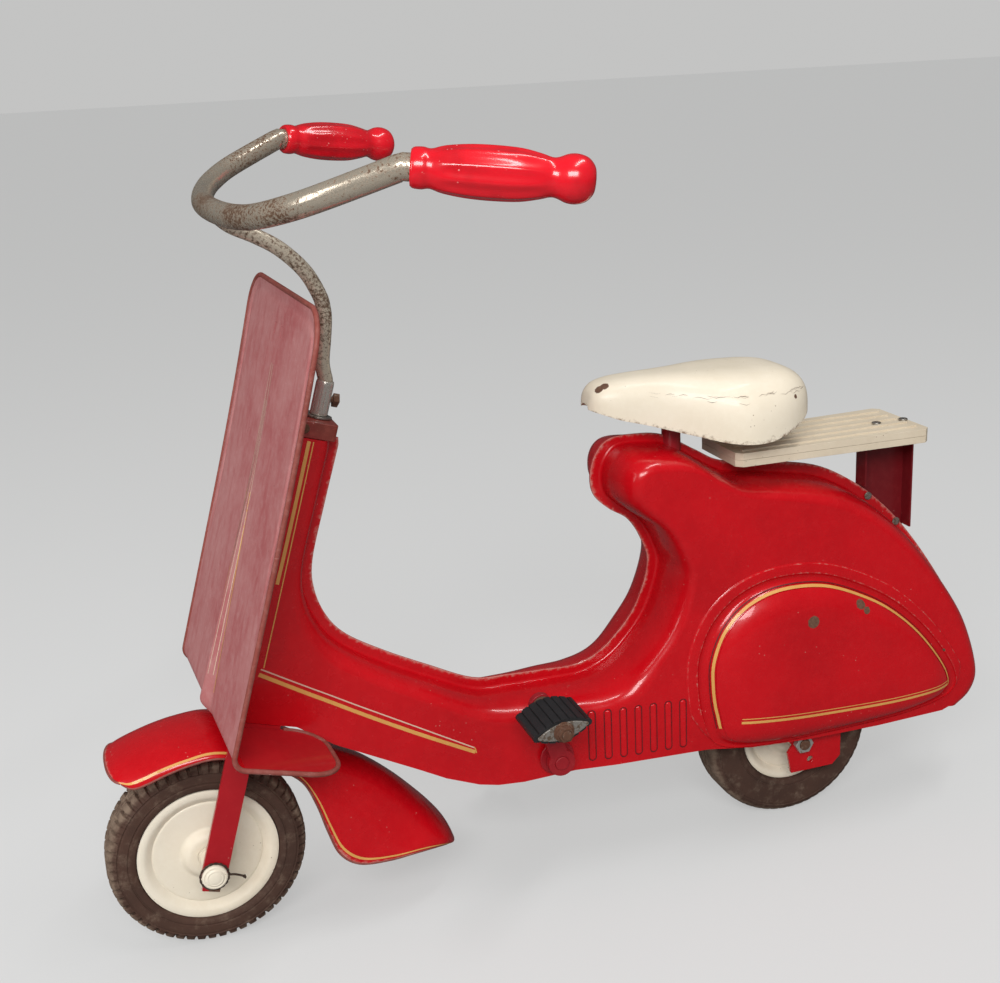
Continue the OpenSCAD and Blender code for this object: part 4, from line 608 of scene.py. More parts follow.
def shell_face(outside):
    """Points of one face of the left half shell: row by row along the fin, then the lower edge."""
    columns = []
    for i, (a, b) in enumerate(zip(RIM, FACE)):
        d = np.linalg.norm(b - a)
        u = (b - a) / d
        w = NECK_HW if i <= TAPER_FROM * STEPS else side_y(b[0])
        columns.append([[a[0] + u[0] * q[0], -q[1], a[1] + u[1] * q[0]] for q in section(d, w, outside)])
    inset = 0 if outside else SHEET
    low = [[x, -((NECK_HW if i > LOW_NECK else side_y(x)) - inset), z] for i, (x, z) in enumerate(LOWER)]
    return [p for r in zip(*columns) for p in r] + low


def shell_part():
    stations = len(RIM)
    verts = shell_face(True)
    size = len(verts)
    verts += shell_face(False)
    low0 = size - len(LOWER)
    count, edge0 = low0 // stations, low0 - stations
    cut_a, cut_b = edge0 + TAPER_FROM * STEPS, edge0 + TAPER_TO * STEPS
    skin = grid_faces(count, stations)
    skin.append(tuple(range(edge0, cut_a + 1)) + tuple(range(low0 + LOW_NECK, size)))
    skin.append(tuple(range(cut_a, cut_b + 1)) + tuple(range(low0 + LOW_TAIL, low0 + LOW_NECK + 1)))
    skin.append(tuple(range(cut_b, low0)) + tuple(range(low0, low0 + LOW_TAIL + 1)))
    faces = skin + [tuple(v + size for v in reversed(f)) for f in skin]
    border = (list(range(stations)) + [r * stations + stations - 1 for r in range(1, count)]
              + list(range(low0, size)) + [r * stations for r in range(count - 1, 0, -1)])
    faces += [(a, b, b + size, a + size) for a, b in zip(border, border[1:] + border[:1])]
    wear = np.zeros(len(verts))
    for r, value in ((0, 0.66), (1, 0.5), (3, 0.2), (4, 0.1)):
        wear[r * stations:(r + 1) * stations] = value
    return np.array(verts), faces, wear


COVER = smooth([[REAR_X + x, z] for x, z in (
    (-108, 166), (-106, 190), (-94, 217), (-70, 238), (-36, 247.5), (9, 243.5), (54, 224), (88, 201),
    (121, 168), (148, 127), (143, 106), (100, 96), (30, 93), (-50, 94), (-92, 104), (-104, 134))],
    8, ring=True)
COVER_MID = np.array([REAR_X + 10, 158.0])
COVER_OUT = 17.0
# the raised border: growth of the outline, growth of the band, height over the flat side
COVER_BORDER = [(0.6, 12.0, -0.6), (0.4, 11.2, 0.15), (0.2, 10.3, 0.8), (0.1, 9.2, 1.15), (0.05, 6.0, 1.35),
                (0.0, 3.2, 1.5), (0.0, 2.0, 1.55), (0.0, 1.3, 1.25), (0.0, 0.5, 0.45), (-0.6, 0.2, 0.3)]
# the dome: share of the outline, share of the height
COVER_STEPS = smooth([[1.0, 0], [0.985, 0.01], [0.965, 0.05], [0.95, 0.13], [0.93, 0.28], [0.905, 0.44],
                      [0.87, 0.60], [0.83, 0.74], [0.78, 0.85], [0.71, 0.935], [0.6, 0.985], [0.4, 1.02],
                      [0.15, 1.03]], 3)


def cover_ring(share, grow, band, y):
    out = []
    for p in COVER:
        v = p - COVER_MID
        q = COVER_MID + v * share + unit(v) * (grow + band * share_of((p[1] - 110) / 26))
        out.append([q[0], -y, q[1]])
    return out


def cover_part():
    rings = [cover_ring(1, grow, band, TAIL_HW + rise) for grow, band, rise in COVER_BORDER]
    rings += [cover_ring(s, -1.2 * (s > 0.9), 0, TAIL_HW + COVER_OUT * h) for s, h in COVER_STEPS[1:]]
    return dome(rings, (0, 0.25, 0.42, 0, 0, 0.30, 0.42, 0.2))


def on_cover(x, z):
    """Distance from the mid-plane of the cover's skin at a place."""
    v = np.array([x, z]) - COVER_MID
    rel = COVER - COVER_MID
    angles = np.arctan2(rel[:, 1], rel[:, 0])
    order = np.argsort(angles)
    reach = float(np.interp(math.atan2(v[1], v[0]), angles[order], np.linalg.norm(rel[order], axis=1),
                            period=2 * math.pi))
    shares, heights = COVER_STEPS[::-1].T
    return TAIL_HW + COVER_OUT * float(np.interp(np.linalg.norm(v) / reach, shares, heights))


LOUVRES, LOUVRE_W, LOUVRE_TILT, LOUVRE_SHADE_R = 7, 5.4, 0.25, 3.1
LOUVRE_RINGS = [(1.0, -0.4), (1.0, 0.2), (0.88, 0.8), (0.64, 1.2), (0.32, 1.4)]


def louvre_ends(i):
    """Middle of a louvre, and the heights of the middles of its two round ends."""
    return REAR_X - 206 + i * 13.8, BELLY_Z + 14.5 - i * 0.65, BELLY_Z + 54.2 - i * 0.8


def louvre_part(i):
    """A pressed louvre: a long rounded ridge that rises towards its rear edge."""
    x, z0, z1 = louvre_ends(i)
    outline = [(a, z1) for a in range(0, 181, 20)] + [(a, z0) for a in range(180, 361, 20)]
    rings = []
    for share, rise in LOUVRE_RINGS:
        ring = []
        for a, z in outline:
            px = x + cosd(a) * LOUVRE_W / 2 * share
            ring.append([px, -(side_y(px) + rise * (1 + LOUVRE_TILT * cosd(a))),
                         z + sind(a) * LOUVRE_W / 2 * share])
        rings.append(ring)
    return dome(rings, (0.0, 0.0, 0.12, 0.2, 0.25))


def side_strip(side, name, points, width, material, height, shift=0.0, steps=10):
    """A painted line along points [x, z] on a side; height gives the skin's distance from the mid-plane."""
    line = smooth(points, steps)
    left, right = [], []
    for i, p in enumerate(line):
        t = unit(line[min(i + 1, len(line) - 1)] - line[max(i - 1, 0)])
        n = np.array([-t[1], t[0]])
        for store, k in ((left, shift - width / 2), (right, shift + width / 2)):
            q = p + n * k
            store.append([q[0], -(height(q[0], q[1]) + SIDE_RISE), q[1]])
    flip = [1, -1 if side == "right" else 1, 1]
    ribbon(name + "_" + side, np.array(left) * flip, np.array(right) * flip, material, "body_shell_" + side)


def on_neck(x, z):
    return NECK_HW


# the line round the cover runs from its low front corner over the top to its rear end, above ARCH_FOOT
RING = [(p[0], p[2]) for p in cover_ring(0.925, -1.2, 0, 0)]
ARCH_FOOT, ARCH_FRONT = 118, 480
start = min((k for k, p in enumerate(RING) if p[1] > ARCH_FOOT),
            key=lambda k: (RING[k][0] > ARCH_FRONT, RING[k][1]))
ARCH = [p for p in RING[start:] + RING[:start] if p[1] > ARCH_FOOT]
COVER_FOOT = [(452, 127), (498, 122.6), (539, 120.2), (598, 118.0), (642, 118.6), (664, 119.2)]
# name, points, width, paint, height of the skin, sideways shift, steps
SIDE_LINES = [
    ("neck_line_wide", [neck(-8.6, 350), neck(-8.8, 300), neck(-9.2, 262), neck(-9.8, 235)],
     2.8, GOLD, on_neck),
    ("neck_line_thin", [neck(-5.0, 350), neck(-5.2, 300), neck(-5.6, 240), neck(-6.0, 200), neck(-6.4, 166)],
     0.9, GOLD, on_neck),
    ("pennant_top", [(56, 235.1), (111.1, 201), (170.4, 167.3), (221.1, 138.7)], 1.1, LINE_CREAM, side_y),
    ("pennant_low", [(54, 231.0), (110.6, 195.3), (170, 161.5), (221.8, 134.6)], 3.2, GOLD, side_y),
    ("pennant_end", [(221.4, 138.9), (222.2, 136.6), (222.6, 133.6)], 0.9, GOLD, side_y),
    ("cover_ring", ARCH, 2.0, GOLD, on_cover, 0.0, 2),
    # a thin line of painted shade inside the gold ring round the cover
    ("cover_hair", ARCH, 0.55, SHADE, on_cover, 2.4, 2),
    ("cover_foot_wide", COVER_FOOT, 2.4, GOLD, on_cover),
    ("cover_foot_thin", COVER_FOOT, 0.8, GOLD, on_cover, 3.4)]

for side in ("left", "right"):
    pieces = [shell_part(), cover_part()] + [louvre_part(i) for i in range(LOUVRES)]
    part = joined([piece[:2] for piece in pieces])
    if side == "right":
        part = mirrored(part)
    node = "body_shell_" + side
    wear = np.concatenate([piece[2] for piece in pieces])
    weighted(make(node + "_skin", *part, RED, node, sharp=38, wear=wear, slot="red_enamel"))
    for line in SIDE_LINES:
        side_strip(side, *line)
    # a thin ring of painted shade just outside each louvre
    for i in range(LOUVRES):
        x, z0, z1 = louvre_ends(i)
        loop = [(x + cosd(a) * LOUVRE_SHADE_R, (z1 if a < 180 else z0) + sind(a) * LOUVRE_SHADE_R)
                for a in (*range(0, 180, 15), *range(195, 360, 15), 0)]
        side_strip(side, "louvre_shade_%d" % i, loop, 1.0, SHADE, lambda px, pz: side_y(px) - 0.06, steps=1)

# Legshield, its footboards and its edge
SHIELD_HW, SHIELD_TOP, SHIELD_CORNER, SKEW = 108.0, 456.0, 28.0, 3.0
LEAF_IN, LEAF_CORNER, LEAF_LEN = 31.0, 27.0, 88.0
PROW_TOP, PROW_H = 330.0, 6.0
BEND_TOP, CORNER_FOOT = FOOT_UNDER + FOOT_BEND, SHIELD_TOP - SHIELD_CORNER
FOOT_Z = FOOT_UNDER + SHEET / 2
SLOT_Z, SLOT_TOP = 421, 430
SLOT_IN, SLOT_OUT = 8.8, 11.2
BOW_FROM, BOW = 270, 4.6
PRESS_FROM, PRESS_IN, PRESS_DEEP = 225, 9.5, 1.8
COLUMN_HOLE_R = 8.9
SHARES = [0, 0.006, 0.02, 0.035, 0.05, 0.065, 0.08, 0.095, 0.11, 0.125, 0.145, 0.18, 0.23, 0.3, 0.4,
          0.5, 0.6, 0.68, 0.76]
# letters of a mirrored pair, its top and its foot as y and z, width, paint
SHIELD_LINES = [("ab", (2.6, 400), (11.0, 152), 0.9, LINE_CREAM),
                ("cd", (1.2, 372), (4.2, 150), 0.7, LINE_CREAM),
                ("ef", (5.2, 300), (17.5, 140), 1.3, GOLD)]


def shield_bow(z):
    return 0.0 if z < BOW_FROM else BOW * ((z - BOW_FROM) / (SHIELD_TOP - BOW_FROM)) ** 2


def prow_share(z):
    return share_of((PROW_TOP - z) / (PROW_TOP - BEND_TOP))


def prow(y, z):
    """The raised fold up the middle, with a rounded crest and foot."""
    s = prow_share(z)
    s = s * s * (3 - 2 * s) * 0.35 + s * 0.65
    k = min(1.0, abs(y) / (5 + 11 * prow_share(z)))
    return PROW_H * s * (1 - math.sqrt(k * k + 0.012) + 0.03 * (1 - k)) if k < 1 else 0.0


def shield_edge(y, z):
    """Distance in from the shield's edge."""
    y = abs(y)
    cy = SHIELD_HW - SHIELD_CORNER
    if y > cy and z > CORNER_FOOT:
        return SHIELD_CORNER - math.hypot(y - cy, z - CORNER_FOOT)
    return min(SHIELD_HW - y, SHIELD_TOP - z)


def press_line(y, z):
    """A pressed line that runs round inside the edge, fading out down the sides."""
    fade = share_of((z - PRESS_FROM) / 60)
    return PRESS_DEEP * fade * math.exp(-((shield_edge(y, z) - PRESS_IN) / 1.5) ** 2)


def shield_columns(z):
    """Places across the shield, dense at the edge, at the prow and at the slots."""
    k = z - CORNER_FOOT
    w = SHIELD_HW - (0 if k <= 0 else SHIELD_CORNER - math.sqrt(max(0, SHIELD_CORNER ** 2 - k * k)))
    k = 5 + 11 * prow_share(z)
    pos = [w * (1 - s) for s in SHARES] + [max(k * 1.15, 14.5), max(k, 12.4), SLOT_OUT, SLOT_IN,
                                           6.0, 3.6, 1.6, 0.5]
    return both_ways([-v for v in pos])


def shield_sheet():
    """The pressed sheet with its fold at the foot, the prow and two slots, and its wear."""
    profile = [(SHIELD_X + FOOT_BEND * (1 - sind(a)), FOOT_UNDER + FOOT_BEND * (1 - cosd(a)), a)
               for a in np.linspace(0, 90, 9)]
    levels = [z for z in np.linspace(BEND_TOP, CORNER_FOOT, 46)[1:]
              if abs(z - SLOT_Z) > 4 and abs(z - SLOT_TOP) > 1.5]
    levels = sorted(levels + [SLOT_Z - 3.5, SLOT_Z, SLOT_Z + 4.5])
    levels += [CORNER_FOOT + SHIELD_CORNER * sind(a)
               for a in (4.1, 10, 18, 27, 36, 45, 54, 63, 71, 78, 84, 87.5, 90)]
    profile += [(SHIELD_X - shield_bow(z), z, 90.0) for z in levels]
    outer, inner = [], []
    for x, z, a in profile:
        s, c = sind(a), cosd(a)
        places = [(y, prow(y, z), 0.0 if a < 89 else press_line(y, z)) for y in shield_columns(z)]
        outer.append([[x - fold * s + press, y, z] for y, fold, press in places])
        inner.append([[x - (fold - SHEET) * s + press, y, z + SHEET * c] for y, fold, press in places])
    columns = shield_columns(SLOT_Z)
    slots = [(i, j) for i, (x, z, a) in enumerate(profile) if SLOT_Z - 0.1 <= z < SLOT_TOP - 1
             for j in range(len(columns) - 1) if SLOT_IN < abs((columns[j] + columns[j + 1]) / 2) < SLOT_OUT]
    wear = sheet_wear(len(profile), len(columns),
                      lambda i, j: 0.55 * math.exp(-(shield_edge(outer[i][j][1], profile[i][1]) / 2.2) ** 2))
    return (*pressed(outer, inner, slots), wear)


def leaf_corners(count):
    """The two rounded corners of a footboard's outline."""
    end = SHIELD_X + LEAF_LEN - LEAF_CORNER
    return [[end + LEAF_CORNER * cosd(a), y + LEAF_CORNER * sind(a), FOOT_Z]
            for y, first in ((LEAF_IN + LEAF_CORNER, -90), (SHIELD_HW - LEAF_CORNER, 0))
            for a in np.linspace(first, first + 90, count)]


def footboard():
    front = SHIELD_X + FOOT_BEND - 0.2
    outline = [[front, LEAF_IN]] + [p[:2] for p in leaf_corners(13)] + [[front, SHIELD_HW]]
    n = len(outline)
    verts = [[x, y, z] for z in (FOOT_UNDER, FOOT_UNDER + SHEET) for x, y in outline]
    return np.array(verts), end_faces(2, n) + [(i, (i + 1) % n, n + (i + 1) % n, n + i) for i in range(n)]


def foot_bridge():
    """The flat between the footboards, with a round hole for the column."""
    x0, x1, y1, n = SHIELD_X + FOOT_BEND - 0.2, CAP_REAR + 3.8, LEAF_IN + 1, 32
    turn = np.linspace(0, 2 * math.pi, n + 1)[:-1]
    hole = [[COLUMN_HOLE_R * math.cos(a), COLUMN_HOLE_R * math.sin(a)] for a in turn]
    edge = []
    for hx, hy in hole:
        s = min((x1 if hx > 0 else -x0) / abs(hx) if abs(hx) > 1e-6 else 1e9,
                y1 / abs(hy) if abs(hy) > 1e-6 else 1e9)
        edge.append([hx * s, hy * s])
    verts = [[x, y, z] for z in (FOOT_UNDER, FOOT_UNDER + SHEET) for x, y in hole + edge]
    faces = [(k + i, k + (i + 1) % n, k + n + (i + 1) % n, k + n + i) for k in (0, 2 * n) for i in range(n)]
    return np.array(verts), faces


def shield_bead():
    """The rolled edge of one side: round the footboard, up the bend and the side, over the corner."""
    roll = 0.6
    bend = FOOT_BEND - roll
    path = [[CAP_REAR + 4, LEAF_IN, FOOT_Z]] + leaf_corners(11)
    path += [[SHIELD_X + FOOT_BEND - bend * sind(a), SHIELD_HW, FOOT_UNDER + FOOT_BEND - bend * cosd(a)]
             for a in np.linspace(0, 90, 9)]
    rest = [(SHIELD_HW, z) for z in np.linspace(BEND_TOP, CORNER_FOOT, 24)[1:]]
    rest += [(SHIELD_HW - SHIELD_CORNER + SHIELD_CORNER * cosd(a), CORNER_FOOT + SHIELD_CORNER * sind(a))
             for a in np.linspace(0, 90, 12)[1:]]
    path += [[SHIELD_X + roll - shield_bow(z), y, z] for y, z in rest + [(0, SHIELD_TOP)]]
    return sweep(path, 2.0, 14, [0, 0, 1])


def legshield():
    verts, faces, wear = shield_sheet()
    obj = make("legshield_front", steer(verts, SKEW), faces, FADED, "legshield", wear=wear, sharp=50,
               slot="red_enamel")
    obj.data.materials.append(RED)
    half = len(verts) // 2
    for poly in obj.data.polygons:
        if all(v >= half for v in poly.vertices):
            poly.material_index = 1
    leaf, bead = footboard(), shield_bead()
    verts, faces = joined([leaf, mirrored(leaf), foot_bridge()])
    make("legshield_footboards", steer(verts, SKEW), faces, LEAF_RED, "legshield", slot="red_enamel")
    verts, faces = joined([bead, mirrored(bead)])
    make("legshield_bead", steer(verts, SKEW), faces, WORN_EDGE, "legshield", slot="red_enamel")
    for letters, top, low, width, paint in SHIELD_LINES:
        for letter, sign in zip(letters, (1, -1)):
            left, right = [], []
            for t in np.linspace(0, 1, 40):
                y, z = lerp(top[0] * sign, low[0] * sign, t), lerp(top[1], low[1], t)
                for store, k in ((left, -width / 2), (right, width / 2)):
                    store.append([SHIELD_X - shield_bow(z) - prow(y + k, z) - PAINT_RISE, y + k, z])
            ribbon("shield_line_" + letter, steer(left, SKEW), steer(right, SKEW), paint, "legshield")


legshield()

# Front mudguard
# crest x and z from the axle, lower edge x and z, half width
GUARD = smooth([
    (-69.5, 90, -60, 87, 36), (-60.5, 95.5, -52, 83.5, 41.5), (-47.5, 100, -41, 85.8, 43.3),
    (-32, 103.6, -25, 91, 43.8), (-14, 106.2, -6, 95, 43.8), (10, 106.8, 13, 96, 43.8),
    (32, 102.3, 36, 89, 43.8), (50, 94.7, 58, 78, 45),
    (70, 84.5, 76.5, 63, 46), (92, 74, 86, 41, 46.5), (116, 61.5, 93, 15, 47), (138, 48, 101, -7, 47),
    (160, 28.5, 116, -19.5, 47), (179.5, 7, 140, -22.3, 47), (192, -9, 165, -21.7, 45.5),
    (202, -24, 184, -25, 38), (207, -37, 197, -34, 22), (208, -41, 204, -40, 9)], 6)


def guard_point(i, a, t):
    """A point at a station and an angle from the crest, t in from the outer face."""
    s = GUARD[i]
    p, q = GUARD[max(i - 1, 0)], GUARD[min(i + 1, len(GUARD) - 1)]
    k = 1 - max(0.0, cosd(a)) ** 0.9
    c = np.array([s[0], s[1]]) - t * unit(np.array([p[1] - q[1], q[0] - p[0]]))
    return [c[0] + (s[2] - c[0]) * k, (s[4] - t) * math.copysign(abs(sind(a)) ** 0.9, a),
            WHEEL_R + c[1] + (s[3] - c[1]) * k]


def mudguard():
    half = [-90, -87, -83, -78, -72, -65, -57, -49, -41, -33, -25, -17, -9]
    angles = both_ways(half)
    stations, cols = range(len(GUARD)), len(angles)
    sheet = pressed(*[[[guard_point(i, a, t) for a in angles] for i in stations] for t in (0, SHEET)])
    wear = sheet_wear(len(GUARD), cols,
                      lambda i, j: max(from_edge((0.55, 0.3, 0.1), j, cols), max(0.0, 1 - i / 5.0) * 0.6))
    make("front_mudguard_skin", *sheet, RED, "front_mudguard", wear=wear, sharp=45, slot="red_enamel")
    fine = np.linspace(-90, -30, 160)
    line_low, line_top = 4.2, 6.4
    left, right = [], []
    for i in stations[2:-3]:
        pts = np.array([guard_point(i, a, -PAINT_RISE) for a in fine])
        run = np.concatenate([[0], np.cumsum(np.linalg.norm(np.diff(pts, axis=0), axis=1))])
        left.append(guard_point(i, np.interp(line_low, run, fine), -PAINT_RISE))
        right.append(guard_point(i, np.interp(line_top, run, fine), -PAINT_RISE))
    for side, sign in (("left", 1), ("right", -1)):
        ribbon("mudguard_line_" + side, np.array(left) * [1, sign, 1], np.array(right) * [1, sign, 1], GOLD,
               "front_mudguard")
    rim = sweep([guard_point(i, -90, 0.4) for i in stations[1:-1]], 1.0, 10, [0, 1, 0])
    lip = sweep([guard_point(0, a, 0.5) for a in np.linspace(-90, 90, 41)], 1.0, 10, [1, 0, 0])
    make("mudguard_rolled_edge", *joined([rim, mirrored(rim), lip]), WORN_EDGE, "front_mudguard",
         slot="red_enamel")


mudguard()

# Saddle
PAN_HW, PAN_H = 60, 56
SADDLE_TOP = SEAT_Z + 50.5
# x from the seat post, share of the half width, crest and lower edge from the top
SADDLE = smooth([
    [-77, 0.14, -18, -23], [-74, 0.24, -9.5, -24], [-67, 0.33, -3.5, -26.5], [-54, 0.40, -0.5, -0.56 * PAN_H],
    [-34, 0.46, 0.5, -0.66 * PAN_H], [-14, 0.54, 0.5, -0.77 * PAN_H],
    [6, 0.69, 0.2, -0.87 * PAN_H], [26, 0.89, 0, -0.96 * PAN_H], [44, 1, -0.3, -PAN_H],
    [62, 1, -0.8, -PAN_H], [79, 0.94, -1.6, -0.93 * PAN_H], [93, 0.83, -3.5, -0.85 * PAN_H],
    [104, 0.69, -8, -0.78 * PAN_H], [111, 0.54, -15, -0.72 * PAN_H], [114.5, 0.4, -25, -0.69 * PAN_H],
    [115.5, 0.3, -34, -0.68 * PAN_H]], 6)


def saddle_row(s, t, angles):
    """Points across the saddle, t in from its outer face."""
    return [[SEAT_X + s[0], (s[1] * PAN_HW - t) * math.copysign(abs(sind(a)) ** 0.6, a),
             SADDLE_TOP + s[3] + (s[2] - t - s[3]) * max(0.0, cosd(a)) ** 0.6] for a in angles]


def saddle():
    half = [-90, -88, -85, -81, -76, -70, -63, -55, -46, -37, -28, -19, -11, -5, -1.5]
    angles = both_ways(half)
    cols = len(angles)
    sheet = pressed(*[[saddle_row(s, t, angles) for s in SADDLE] for t in (0, 1.5)])
    wear = sheet_wear(len(SADDLE), cols, lambda i, j: from_edge((0.44, 0.22), j, cols))
    make("saddle_skin", *sheet, SADDLE_PAINT, "saddle", wear=wear, sharp=60, slot="white_enamel")
    # short cracks along the crease of the side
    rng = np.random.default_rng(11)
    crease = 57.5
    first, last = int(len(SADDLE) * 0.28), int(len(SADDLE) * 0.80)
    strips = []
    for k in range(26):
        start, count = int(rng.integers(first, last - 3)), int(rng.integers(3, 7))
        at = crease + rng.uniform(-2.5, 6.5) * (k % 2 == 0) + rng.uniform(-1.2, 1.2)
        width = rng.uniform(0.08, 0.36)
        points = []
        for j in range(count):
            taper = max(0.15, math.sin(math.pi * (j + 0.35) / (count - 0.3)))
            a = at + 1.1 * math.sin(k * 2.1 + j * 1.9)
            s = SADDLE[min(start + j, last)]
            points += saddle_row(s, -0.12, [a - width * taper, a + width * taper])
        strips.append((points, [(2 * j, 2 * j + 2, 2 * j + 3, 2 * j + 1) for j in range(count - 1)]))
    cracks = joined(strips)
    make("saddle_cracks", *joined([cracks, mirrored(cracks)]), CRACK, "saddle", replace=False)


saddle()

# Stem, handlebar and grips
STEM_FOOT = np.array(neck(0, COLLAR_UNDER + COLLAR_H))
# x and z from the stem's foot
STEM_BENDS = [[-1.5, 14], [1, 31], [3, 46], [2.9, 55], [0.8, 65.5], [-8.8, 84.5], [-25.5, 102], [-42.5, 113],
              [-60, 122], [-70, 131]]
BAR_MID = STEM_FOOT + np.array([-74.2, 135.9])
BAR_REACH, BAR_R, STEM_R, GRIP_R = 213.0, 8.5, 5.75, 16.5
# the right grip: its direction, and its inner end's x and z from the bar's middle
GRIP_ALONG, GRIP_FROM, GRIP_LEN = (111.5, 37, -14.0), (95.7, 34.1), 111
STEM_IN_COLUMN = 66
# x from the bar's middle, share of its reach, z from the middle
BAR_BENDS = [[0, 0, 0], [0.4, 0.09, 0], [1.5, 0.19, 0], [3.3, 0.28, 0.1], [7.1, 0.42, 0.9], [12.8, 0.56, 3.1],
             [23.1, 0.70, 7.9], [44.1, 0.845, 16.8]]
# distance along a grip, share of its radius
GRIP_SHAPE = [[0, 0.66], [2, 0.74], [7, 0.76], [12, 0.72], [20, 0.86], [34, 0.97], [50, 1], [66, 0.96],
              [78, 0.82], [84, 0.72], [88, 0.74], [94, 0.88], [100, 0.9], [106, 0.78], [110, 0.5],
              [GRIP_LEN, 0.2]]


def flute(r, h, w):
    """Ten soft flutes along a grip's swelling."""
    share = share_of((h - 15) / 10) * share_of((84 - h) / 12)
    return r - 0.9 * share * (0.5 - 0.5 * math.cos(10 * w)) ** 0.7


def handlebar():
    path = [neck(0, COLUMN_TOP - STEM_IN_COLUMN), neck(0, COLUMN_TOP - 20)]
    path += list(smooth([STEM_FOOT] + [STEM_FOOT + np.array(b) for b in STEM_BENDS], 8))
    path = [[p[0], 0, p[1]] for p in path]
    make("handlebar_stem_bar", *sweep(path, STEM_R, 28, [0, 1, 0]), STEM, "handlebar_stem",
         slot="rusty_steel")
    d = unit(np.array(GRIP_ALONG))
    base = np.array([BAR_MID[0] + GRIP_FROM[0], BAR_REACH, BAR_MID[1] + GRIP_FROM[1]])
    half = ([[BAR_MID[0] + b[0], b[1] * BAR_REACH, BAR_MID[1] + b[2]] for b in BAR_BENDS]
            + [list(base - 5 * d)])
    half = list(smooth(half, 10)) + [base + 16 * d, base + 80 * d]
    full = [[p[0], -p[1], p[2]] for p in half[:0:-1]] + [list(p) for p in half]
    tube = sweep(full, BAR_R, 36, unit(np.cross([0, 0, 1], d)))
    make("handlebar_tube", *tube, CHROME, "handlebar", slot="worn_chrome")
    rings = [[9.0, 1.0], [9.0, 0.1]] + [[g[1] * GRIP_R, g[0]] for g in smooth(GRIP_SHAPE, 4)]
    part = lathe(rings, base, d, [0, 0, 1], steps=144, wobble=flute)
    make("grip_right_moulded", *part, GRIP, "grip_right", sharp=50, slot="red_plastic")
    make("grip_left_moulded", *mirrored(part), GRIP, "grip_left", sharp=50, slot="red_plastic")


handlebar()


# Wheels
def tyre(end, cx, inner, w, cut, blocks, deep):
    """A moulded tyre: w is its half width, cut where its shoulder's grooves begin, deep their depth."""
    half = [[inner, 0.80 * w], [inner + 0.6, 0.9 * w], [inner + 2.0, 0.965 * w], [inner + 4.5, w],
            [inner + 5.6, w + 0.05], [inner + 6.2, w - 0.55], [inner + 7.0, w - 0.55], [inner + 7.6, w + 0.1]]
    r = inner + 7.6
    while r < WHEEL_R - 9.5:
        half.append([r, w + 0.05])
        r += 3.0
    half += [[WHEEL_R - 9.2, w - 0.05], [WHEEL_R - 8.6, w - 0.6], [WHEEL_R - 8.0, w - 0.6],
             [WHEEL_R - 7.4, w - 0.1]]
    half += [[WHEEL_R - drop, share * w] for drop, share in (
        (5.6, 0.955), (3.8, 0.91), (2.4, 0.85), (1.3, 0.76), (0.6, 0.66), (0.15, 0.55), (0, 0.46), (0, 0.36),
        (0.9, 0.33), (0.9, 0.27), (0, 0.24), (0, 0.10), (0.9, 0.07))]
    profile = half + [[a, -b] for a, b in half[::-1]]

    def tread(r, h, a):
        shoulder = share_of(abs(h) - cut) * share_of((r - (WHEEL_R - 7.0)) / 2.0)
        phase = (a * blocks / (2 * math.pi) + (0.16 if h > 0 else -0.16) * (abs(h) / w)) % 1.0
        return r - deep * shoulder * (abs(phase - 0.5) > 0.34)

    part = lathe(profile, [cx, 0, WHEEL_R], [0, -1, 0], [1, 0, 0], steps=blocks * 10, wobble=tread,
                 closed=True)
    make(end + "_tyre_moulded", *part, tyre_material(cx), end + "_tyre", sharp=35, slot="tyre_rubber")


def disc(node, cx, r, sign):
    """A pressed wheel disc: a hub face, a dished middle and a rolled rim."""
    bore, hub_face = 9.3, 18.5
    face = smooth([[bore, hub_face], [15, hub_face], [18.5, 16.6], [22, 12.9], [25.5, 12.2], [0.62 * r, 11.6],
                   [0.755 * r, 11.3], [0.785 * r, 10.6], [0.81 * r, 11.6], [0.86 * r, 14.2],
                   [0.9 * r, 15.6], [0.94 * r, 16.0], [0.975 * r, 15.9], [r, 15.5]], 5)
    profile = ([[bore, hub_face - 0.3]] + [[a, b + SHEET] for a, b in face] + [[r + 0.1, 15.4]]
               + [[a, b] for a, b in face[::-1]])
    part = lathe(profile, [cx, 0, WHEEL_R], [0, sign, 0], [1, 0, 0], steps=128, closed=True)
    make(node + "_pressed", *part, DISC, node, sharp=60, slot="white_enamel")


tyre("front", 0.0, 56.8, 18.5, 2.2, 56, 2.7)
tyre("rear", REAR_X, 46.3, 20.0, 6.0, 56, 0.35)
for end, cx, r in (("front", 0.0, 56.5), ("rear", REAR_X, 46.0)):
    for side, sign in (("left", -1), ("right", 1)):
        disc("%s_disc_%s" % (end, side), cx, r, sign)

# Small pieces
CAP_IN = 50.3
AXLE_CAP = [[5.4, 0.0], [9.6, 0.0], [10.0, 0.4], [10.0, 2.9], [9.5, 3.5], [8.6, 3.8], [8.2, 3.5], [7.8, 3.5],
            [7.2, 4.0], [6.6, 4.5], [6.1, 4.8], [5.6, 4.6], [5.2, 4.6], [4.4, 5.0], [2.4, 5.2], [0.3, 5.25]]
caps = [lathe(AXLE_CAP, [0, sign * CAP_IN, WHEEL_R], [0, sign, 0], [1, 0, 0], steps=48) for sign in (-1, 1)]
make("axle_caps_turned", *joined(caps), DISC, "axle_caps", slot="white_enamel")


